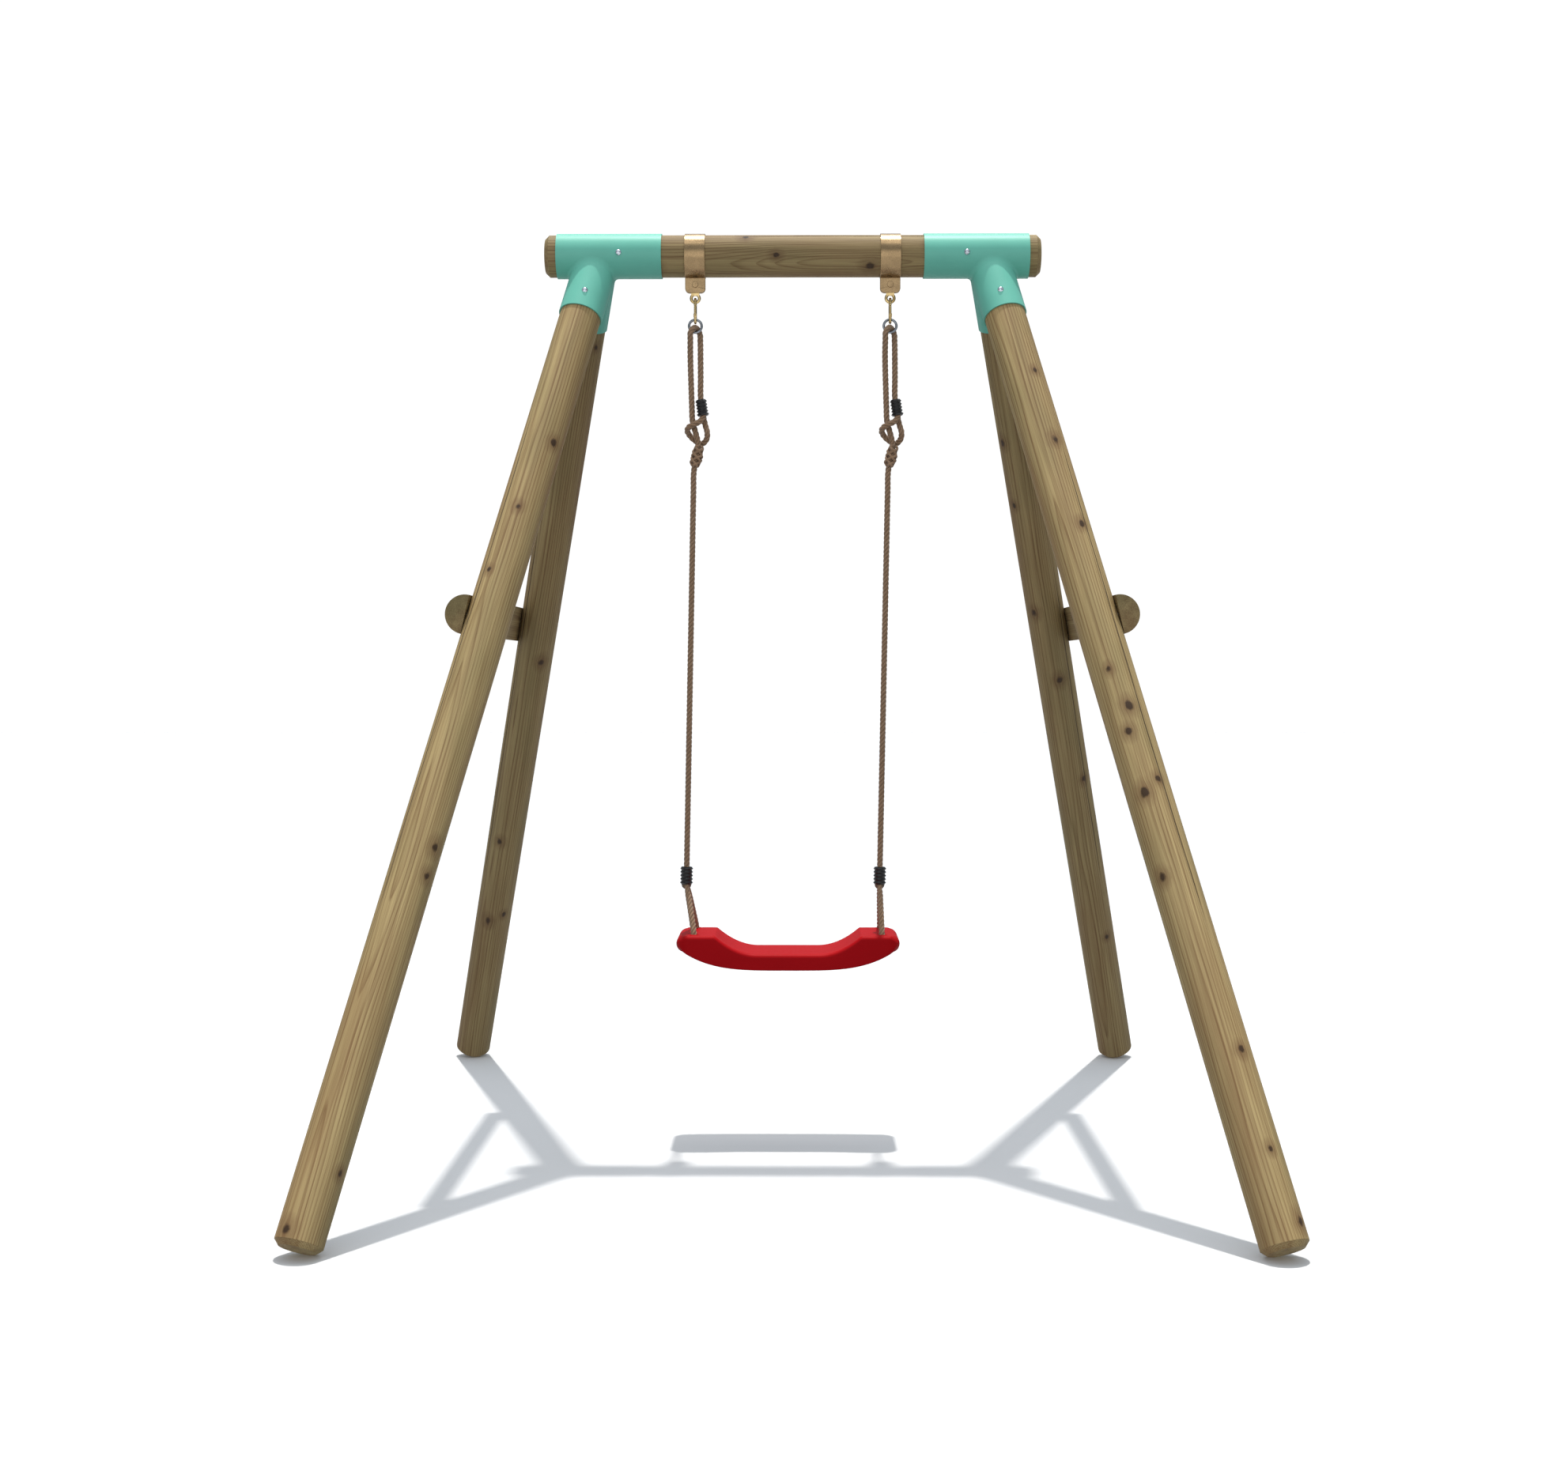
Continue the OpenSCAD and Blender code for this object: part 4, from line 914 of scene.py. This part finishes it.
def ribbed(length, radius, rings, groove, bore, flange=0.0, cup=0.0):
    """Half outline of a crimp sleeve from its top down: flat top with a small round, raised
    rings between grooves given by radius - groove * (0.5 + 0.5 cos)^0.7, and a mouth at the lower
    end, as (along, radius) pairs that end inside the bore. 'flange' widens the last 5 mm, and
    'cup' is how deep the mouth is where that is more than 3 mm."""
    s = np.linspace(1.2 * MM, length - 1.2 * MM, 90)
    r = radius - groove * (0.5 + 0.5 * np.cos(2 * math.pi * rings * s / length)) ** 0.7
    r += flange * (s > length - 5 * MM)
    out = [(0.0, bore), (0.0, r[0] - 1.0 * MM), (0.5 * MM, r[0] - 0.2 * MM)]
    out += list(zip(s, r))
    out += [(length - 0.5 * MM, r[-1] - 0.2 * MM), (length, r[-1] - 1.0 * MM)]
    ceiling = length - max(cup, 3 * MM)
    out += [(length, bore + 0.6 * MM), (length - 1 * MM, bore), (ceiling, bore),
        (ceiling, 0.5 * MM)]
    return out


class SWING_OT_fittings(bpy.types.Operator):
    """Woven knots and crimp sleeves on the ropes"""
    bl_idname = "swing.fittings"
    bl_label = "Rope fittings"

    def execute(self, context):
        rope, crimp = finish_of(context, "rope"), finish_of(context, "crimp")
        for side in SIDES:
            middle, upper, lower, down = hung([(8, 0, -256), (13.5, 0, -145), (2, 0, -1072),
                (2, 0, -1200)], side)
            tilt = math.radians(12)
            axis = hung([(8 + math.sin(tilt) * 100, 0, -256 + math.cos(tilt) * 100)],
                side)[0] - middle
            shape, layer, depth = braid(middle, axis, 20 * MM, 8.6 * MM, 2.5 * MM, 3, 1.0)
            knot = piece(f"{side}_woven_knot", shape, rope, {"lay": layer, "crown": depth})
            place(knot, f"{side}_knot")
            self.upper(side, upper, crimp)
            profile = ribbed(35 * MM, 12.7 * MM, 5, 2.2 * MM, 8.6 * MM, cup=10 * MM)
            profile[0] = (0.0, ROPE_R + 0.1 * MM)
            obj = piece(f"{side}_lower_crimp", skin(revolved(profile, lower, down - lower, 64)),
                crimp, sharp=35)
            place(obj, f"{side}_lower_sleeve")
            dress(f"{side}_loop_bundle", rope)
        return {"FINISHED"}

    def upper(self, side, top, material):
        """The ribbed outline carried round a stadium: two half circles 6.4 mm apart."""
        profile = np.array(ribbed(32 * MM, 11.25 * MM, 5, 2.2 * MM, ROPE_R + 0.1 * MM,
            flange=0.8 * MM))
        tilt = math.radians(9.2)
        down = hung([(13.5 + 100 * math.sin(tilt), 0, -145 - 100 * math.cos(tilt))],
            side)[0] - top
        d, e1, e2 = across(down, (0, -1, 0))
        a = full_turn(72)
        spread = 3.2 * MM * np.sign(np.cos(a)) * np.minimum(1, np.abs(np.cos(a)) * 12)
        rings = (top + profile[:, 0, None, None] * d
            + profile[:, 1, None, None] * spokes(a, e1, e2)[None] + spread[None, :, None] * e1)
        obj = piece(f"{side}_upper_crimp", skin(rings), material, sharp=35)
        place(obj, f"{side}_upper_sleeve")


def seat_top(x):
    """Height of the seat's top at x from its middle: a flat middle, then a square law up to
    the pads at both ends."""
    rise = np.clip((np.abs(x) - 60 * MM) / (84 * MM), 0, 1)
    return 375 * MM + 36 * MM * rise ** 2


def seat_low(x):
    """Height of the skirt's lower rim, which curls up towards both ends."""
    return 343 * MM + 34 * MM * np.clip(np.abs(x) / (203 * MM), 0, 1) ** 3.75


class SWING_OT_seat(bpy.types.Operator):
    """Moulded seat with a dished top, a deep skirt and four collared rope holes"""
    bl_idname = "swing.seat"
    bl_label = "Seat"

    def execute(self, context):
        material = finish_of(context, "seat")
        obj = piece("moulded_seat", self.shell(), material, sharp=50, weld=True)
        place(obj, "seat")
        profile = [(-3.0 * MM, 8 * MM), (-0.5 * MM, 11.5 * MM), (0.9 * MM, 10.2 * MM),
            (1.5 * MM, 8.8 * MM), (1.2 * MM, 7.2 * MM), (-3.0 * MM, 6.6 * MM)]
        collars = [skin(revolved(profile, (SEAT_X + x, y, 410.8 * MM), (0, 0, 1)), ends=False,
            loop=True) for x in (-HOLE_X, HOLE_X) for y in (-HOLE_Y, HOLE_Y)]
        ride_only(piece("seat_rope_collars", joined(collars), material, sharp=60), "seat")
        ribs = piece("seat_ribs", self.ribs(), material, sharp=40, weld=True)
        ride_only(ribs, "seat")
        return {"FINISHED"}

    def ribs(self):
        """Walls under the seat: each is a rectangle 3 mm thick, carried along x or y between
        the ceiling and a line 9 mm above the skirt's rim."""
        parts, clear, sunk, half = [], 9 * MM, 3 * MM, 1.5 * MM
        x = np.linspace(-172, 172, 60) * MM
        for y in (-26 * MM, 26 * MM):
            low, high = seat_low(x) + clear, seat_top(x) - sunk
            parts.append(skin(np.stack([np.stack([x + SEAT_X, 0 * x + y + s * half, z], -1)
                for s, z in ((1, low), (1, high), (-1, high), (-1, low))], 1)))
        y = np.linspace(-72, 72, 12) * MM
        for at in (-130 * MM, -65 * MM, 0.0, 65 * MM, 130 * MM):
            low, high = seat_low(at) + clear + 0 * y, seat_top(at) - sunk + 0 * y
            parts.append(skin(np.stack([np.stack([0 * y + at + SEAT_X + s * half, y, z], -1)
                for s, z in ((-1, low), (-1, high), (1, high), (1, low))], 1)))
        return joined(parts)

    def shell(self):
        """Rings of a rounded rectangle drawn in by an inset: from the middle of the ceiling out
        to the inner wall, down it, round the rim, up the outer wall with a quarter round at top
        and bottom, and in over the top to the middle line. The two quarter rounds grow from the
        sides' small radii to half the end's depth at both ends."""
        hx, hy, corner = 220 * MM, 78 * MM, 24 * MM
        corners = [(hx - corner, -hy + corner, -90), (hx - corner, hy - corner, 0),
            (-hx + corner, hy - corner, 90), (-hx + corner, -hy + corner, 180)]
        outline, normal = [], []
        for cx, cy, first in corners:
            a = np.radians(np.linspace(first, first + 90, 13))
            n = np.stack([np.cos(a), np.sin(a)], -1)
            outline.append(np.array([cx, cy]) + corner * n)
            normal.append(n)
        outline, normal = np.vstack(outline), np.vstack(normal)
        closed = np.vstack([outline, outline[:1]])
        nclosed = np.vstack([normal, normal[:1]])
        gap = np.linalg.norm(np.diff(closed, axis=0), axis=1)
        along = np.append(0, np.cumsum(gap))
        extra = np.linspace(0, along[-1], 240, endpoint=False)
        stations = np.unique(np.round(np.concatenate([along[:-1], extra]), 6))
        p = np.stack([np.interp(stations, along, closed[:, i]) for i in (0, 1)], -1)
        n = np.stack([np.interp(stations, along, nclosed[:, i]) for i in (0, 1)], -1)
        n /= np.linalg.norm(n, axis=1)[:, None]
        end = np.clip((np.abs(n[:, 0]) - 0.15) / 0.7, 0, 1)
        end = end * end * (3 - 2 * end)
        top_r, low_r = 8 * MM + 9 * MM * end, 2 * MM + 15 * MM * end
        wall = 4 * MM
        rows = []

        def row(xy, z):
            rows.append(np.column_stack([xy[:, 0] + SEAT_X, xy[:, 1], z]))

        def inset_row(inset, height, lift):
            """The outline drawn in by an inset, at 'lift' above a height that depends on x."""
            inward = p - n * inset[:, None]
            row(inward, height(inward[:, 0]) + lift)

        def towards_middle(start, t, lift):
            """The outline drawn in by 'start', then a share t of the way to the middle line."""
            inner = p - n * start[:, None]
            spine = np.column_stack([np.clip(p[:, 0], -(hx - hy), hx - hy), 0 * p[:, 1]])
            q = inner * (1 - t) + spine * t
            row(q, seat_top(q[:, 0]) + lift)

        wall_in = low_r + wall
        for t in np.linspace(1, 0.12, 14):
            towards_middle(wall_in, t, -wall)
        towards_middle(wall_in, 0.03, -wall - 1 * MM)
        towards_middle(wall_in, 0.0, -wall - 4 * MM)
        inward = p - n * wall_in[:, None]
        low = seat_low(inward[:, 0]) + 0.6 * MM
        high = np.maximum(seat_top(inward[:, 0]) - wall - 4 * MM, low + 1 * MM)
        for f in (0.75, 0.5, 0.25, 0.08):
            row(inward, low + f * (high - low))
        inset_row(wall_in - 0.4 * MM, seat_low, 0.1 * MM)
        inset_row(low_r + 1.5 * MM, seat_low, 0.0)
        for a in np.radians(np.linspace(90, 0, 7)):
            inset_row(low_r * (1 - math.cos(a)), seat_low, low_r * (1 - math.sin(a)))
        low = seat_low(p[:, 0]) + low_r
        high = np.maximum(seat_top(p[:, 0]) - top_r, low)
        for f in (0.2, 0.4, 0.6, 0.8):
            row(p, low + f * (high - low))
        for a in np.radians(np.linspace(0, 90, 9)):
            inset_row(top_r * (1 - math.cos(a)), seat_top, -top_r * (1 - math.sin(a)))
        for t in np.concatenate([[0.03, 0.07], np.linspace(0.12, 1, 22)]):
            towards_middle(top_r, t, 0.0)
        return skin(np.array(rows), ends=False)


class SWING_OT_stage(bpy.types.Operator):
    """Pale floor, a soft sky, a high sun, two strip lights above and a broad light in front"""
    bl_idname = "swing.stage"
    bl_label = "Stage"

    def execute(self, context):
        scene = context.scene
        scene.view_settings.view_transform = "Standard"
        material, t, shader = finish_named("studio_floor", Roughness=0.9)
        spot = add(t, "ShaderNodeTexCoord", out="Object")
        cloud = add(t, "ShaderNodeTexNoise", {"Vector": spot, "Scale": 1.5, "Detail": 2.0})
        colour = add(t, "ShaderNodeMix", {0: cloud, 6: linear("#dadada"), 7: linear("#dedede")},
            out=2, data_type="RGBA")
        t.links.new(colour, shader.inputs["Base Color"])
        count, reach = 9, 30.0
        line = np.linspace(-reach, reach, count)
        x, y = np.meshgrid(line, line, indexing="xy")
        verts = np.stack([x, y, 0 * x], -1).reshape(-1, 3)
        i, k = np.meshgrid(np.arange(count - 1), np.arange(count - 1), indexing="ij")
        first = i * count + k
        faces = np.stack([first, first + 1, first + count + 1, first + count],
            -1).reshape(-1, 4).tolist()
        floor = piece("studio_floor", (verts, faces), material)
        floor.visible_diffuse = False
        world = bpy.data.worlds.new("studio")
        world.use_nodes = True
        scene.world = world
        t = world.node_tree
        t.nodes.clear()
        way = add(t, "ShaderNodeTexCoord", out="Generated")
        up = add(t, "ShaderNodeSeparateXYZ", {0: way}, out=2)
        level = add(t, "ShaderNodeMapRange", {0: up, 1: -1.0, 2: 1.0})
        level = add(t, "ShaderNodeValToRGB", {0: level}, stops=[(0.0, grey(0.42)),
            (0.46, grey(0.36)), (0.52, grey(0.26)), (0.6, grey(0.3)), (0.78, grey(0.66)),
            (1.0, grey(0.7))])
        sky = add(t, "ShaderNodeBackground", {"Color": (0.91, 0.99, 1.08, 1), "Strength": level})
        plain = add(t, "ShaderNodeBackground", {"Color": (1, 1, 1, 1), "Strength": 1.05})
        seen = add(t, "ShaderNodeLightPath", out="Is Camera Ray")
        sky = add(t, "ShaderNodeMixShader", {0: seen, 1: sky, 2: plain})
        output = t.nodes.new("ShaderNodeOutputWorld")
        t.links.new(sky, output.inputs[0])
        sun = bpy.data.lights.new("sun", "SUN")
        sun.energy, sun.angle = 2.8, math.radians(1.5)
        sun.color = (1.0, 0.98, 0.95)
        lamp = bpy.data.objects.new("sun", sun)
        scene.collection.objects.link(lamp)
        lamp.rotation_euler = Vector((0.02, 0.17, 1.0)).to_track_quat("Z", "Y").to_euler()
        for name, at, wide, deep, energy in (
                ("front_strip", (0, -1.3, 4.45), 4.0, 0.6, 22.0),
                ("rear_strip", (0, 1.55, 4.3), 4.0, 0.9, 26.0),
                ("front_fill", (-0.8, -5.6, 2.2), 5.0, 3.0, 68.0)):
            strip = bpy.data.lights.new(name, "AREA")
            strip.shape, strip.size, strip.size_y, strip.energy = "RECTANGLE", wide, deep, energy
            lamp = bpy.data.objects.new(name, strip)
            scene.collection.objects.link(lamp)
            lamp.location = at
            aim = Vector(at) - Vector((0, 0, BEAM_Z))
            lamp.rotation_euler = aim.to_track_quat("Z", "Y").to_euler()
        return {"FINISHED"}


class SWING_PT_panel(bpy.types.Panel):
    """Sizes, colours and pieces of the swing"""
    bl_label = "Garden Swing"
    bl_space_type = "VIEW_3D"
    bl_region_type = "UI"
    bl_category = "Garden Swing"

    def draw(self, context):
        for group in (context.scene.swing_sizes, context.scene.swing_colours):
            column = self.layout.column()
            for key in group.bl_rna.properties.keys():
                if key not in ("rna_type", "name"):
                    column.prop(group, key)
        for operator in STEPS:
            self.layout.operator(operator.bl_idname)


STEPS = (SWING_OT_camera, SWING_OT_fittings, SWING_OT_ropes, SWING_OT_timber,
    SWING_OT_brackets, SWING_OT_hangers, SWING_OT_seat, SWING_OT_stage)
CLASSES = (SwingSizes, SwingColours, *STEPS, SWING_PT_panel)


def register():
    """Makes the classes known, and hangs both groups of settings on the scene."""
    for cls in CLASSES:
        bpy.utils.register_class(cls)
    bpy.types.Scene.swing_sizes = bpy.props.PointerProperty(type=SwingSizes)
    bpy.types.Scene.swing_colours = bpy.props.PointerProperty(type=SwingColours)


def unregister():
    """Takes back what register() made."""
    del bpy.types.Scene.swing_sizes
    del bpy.types.Scene.swing_colours
    for cls in reversed(CLASSES):
        bpy.utils.unregister_class(cls)


def main():
    """Builds every piece and the stage."""
    register()
    bpy.ops.swing.camera()
    bpy.ops.swing.fittings()
    bpy.ops.swing.ropes()
    bpy.ops.swing.timber()
    bpy.ops.swing.brackets()
    bpy.ops.swing.hangers()
    bpy.ops.swing.seat()
    bpy.ops.swing.stage()


if __name__ == "__main__":
    main()
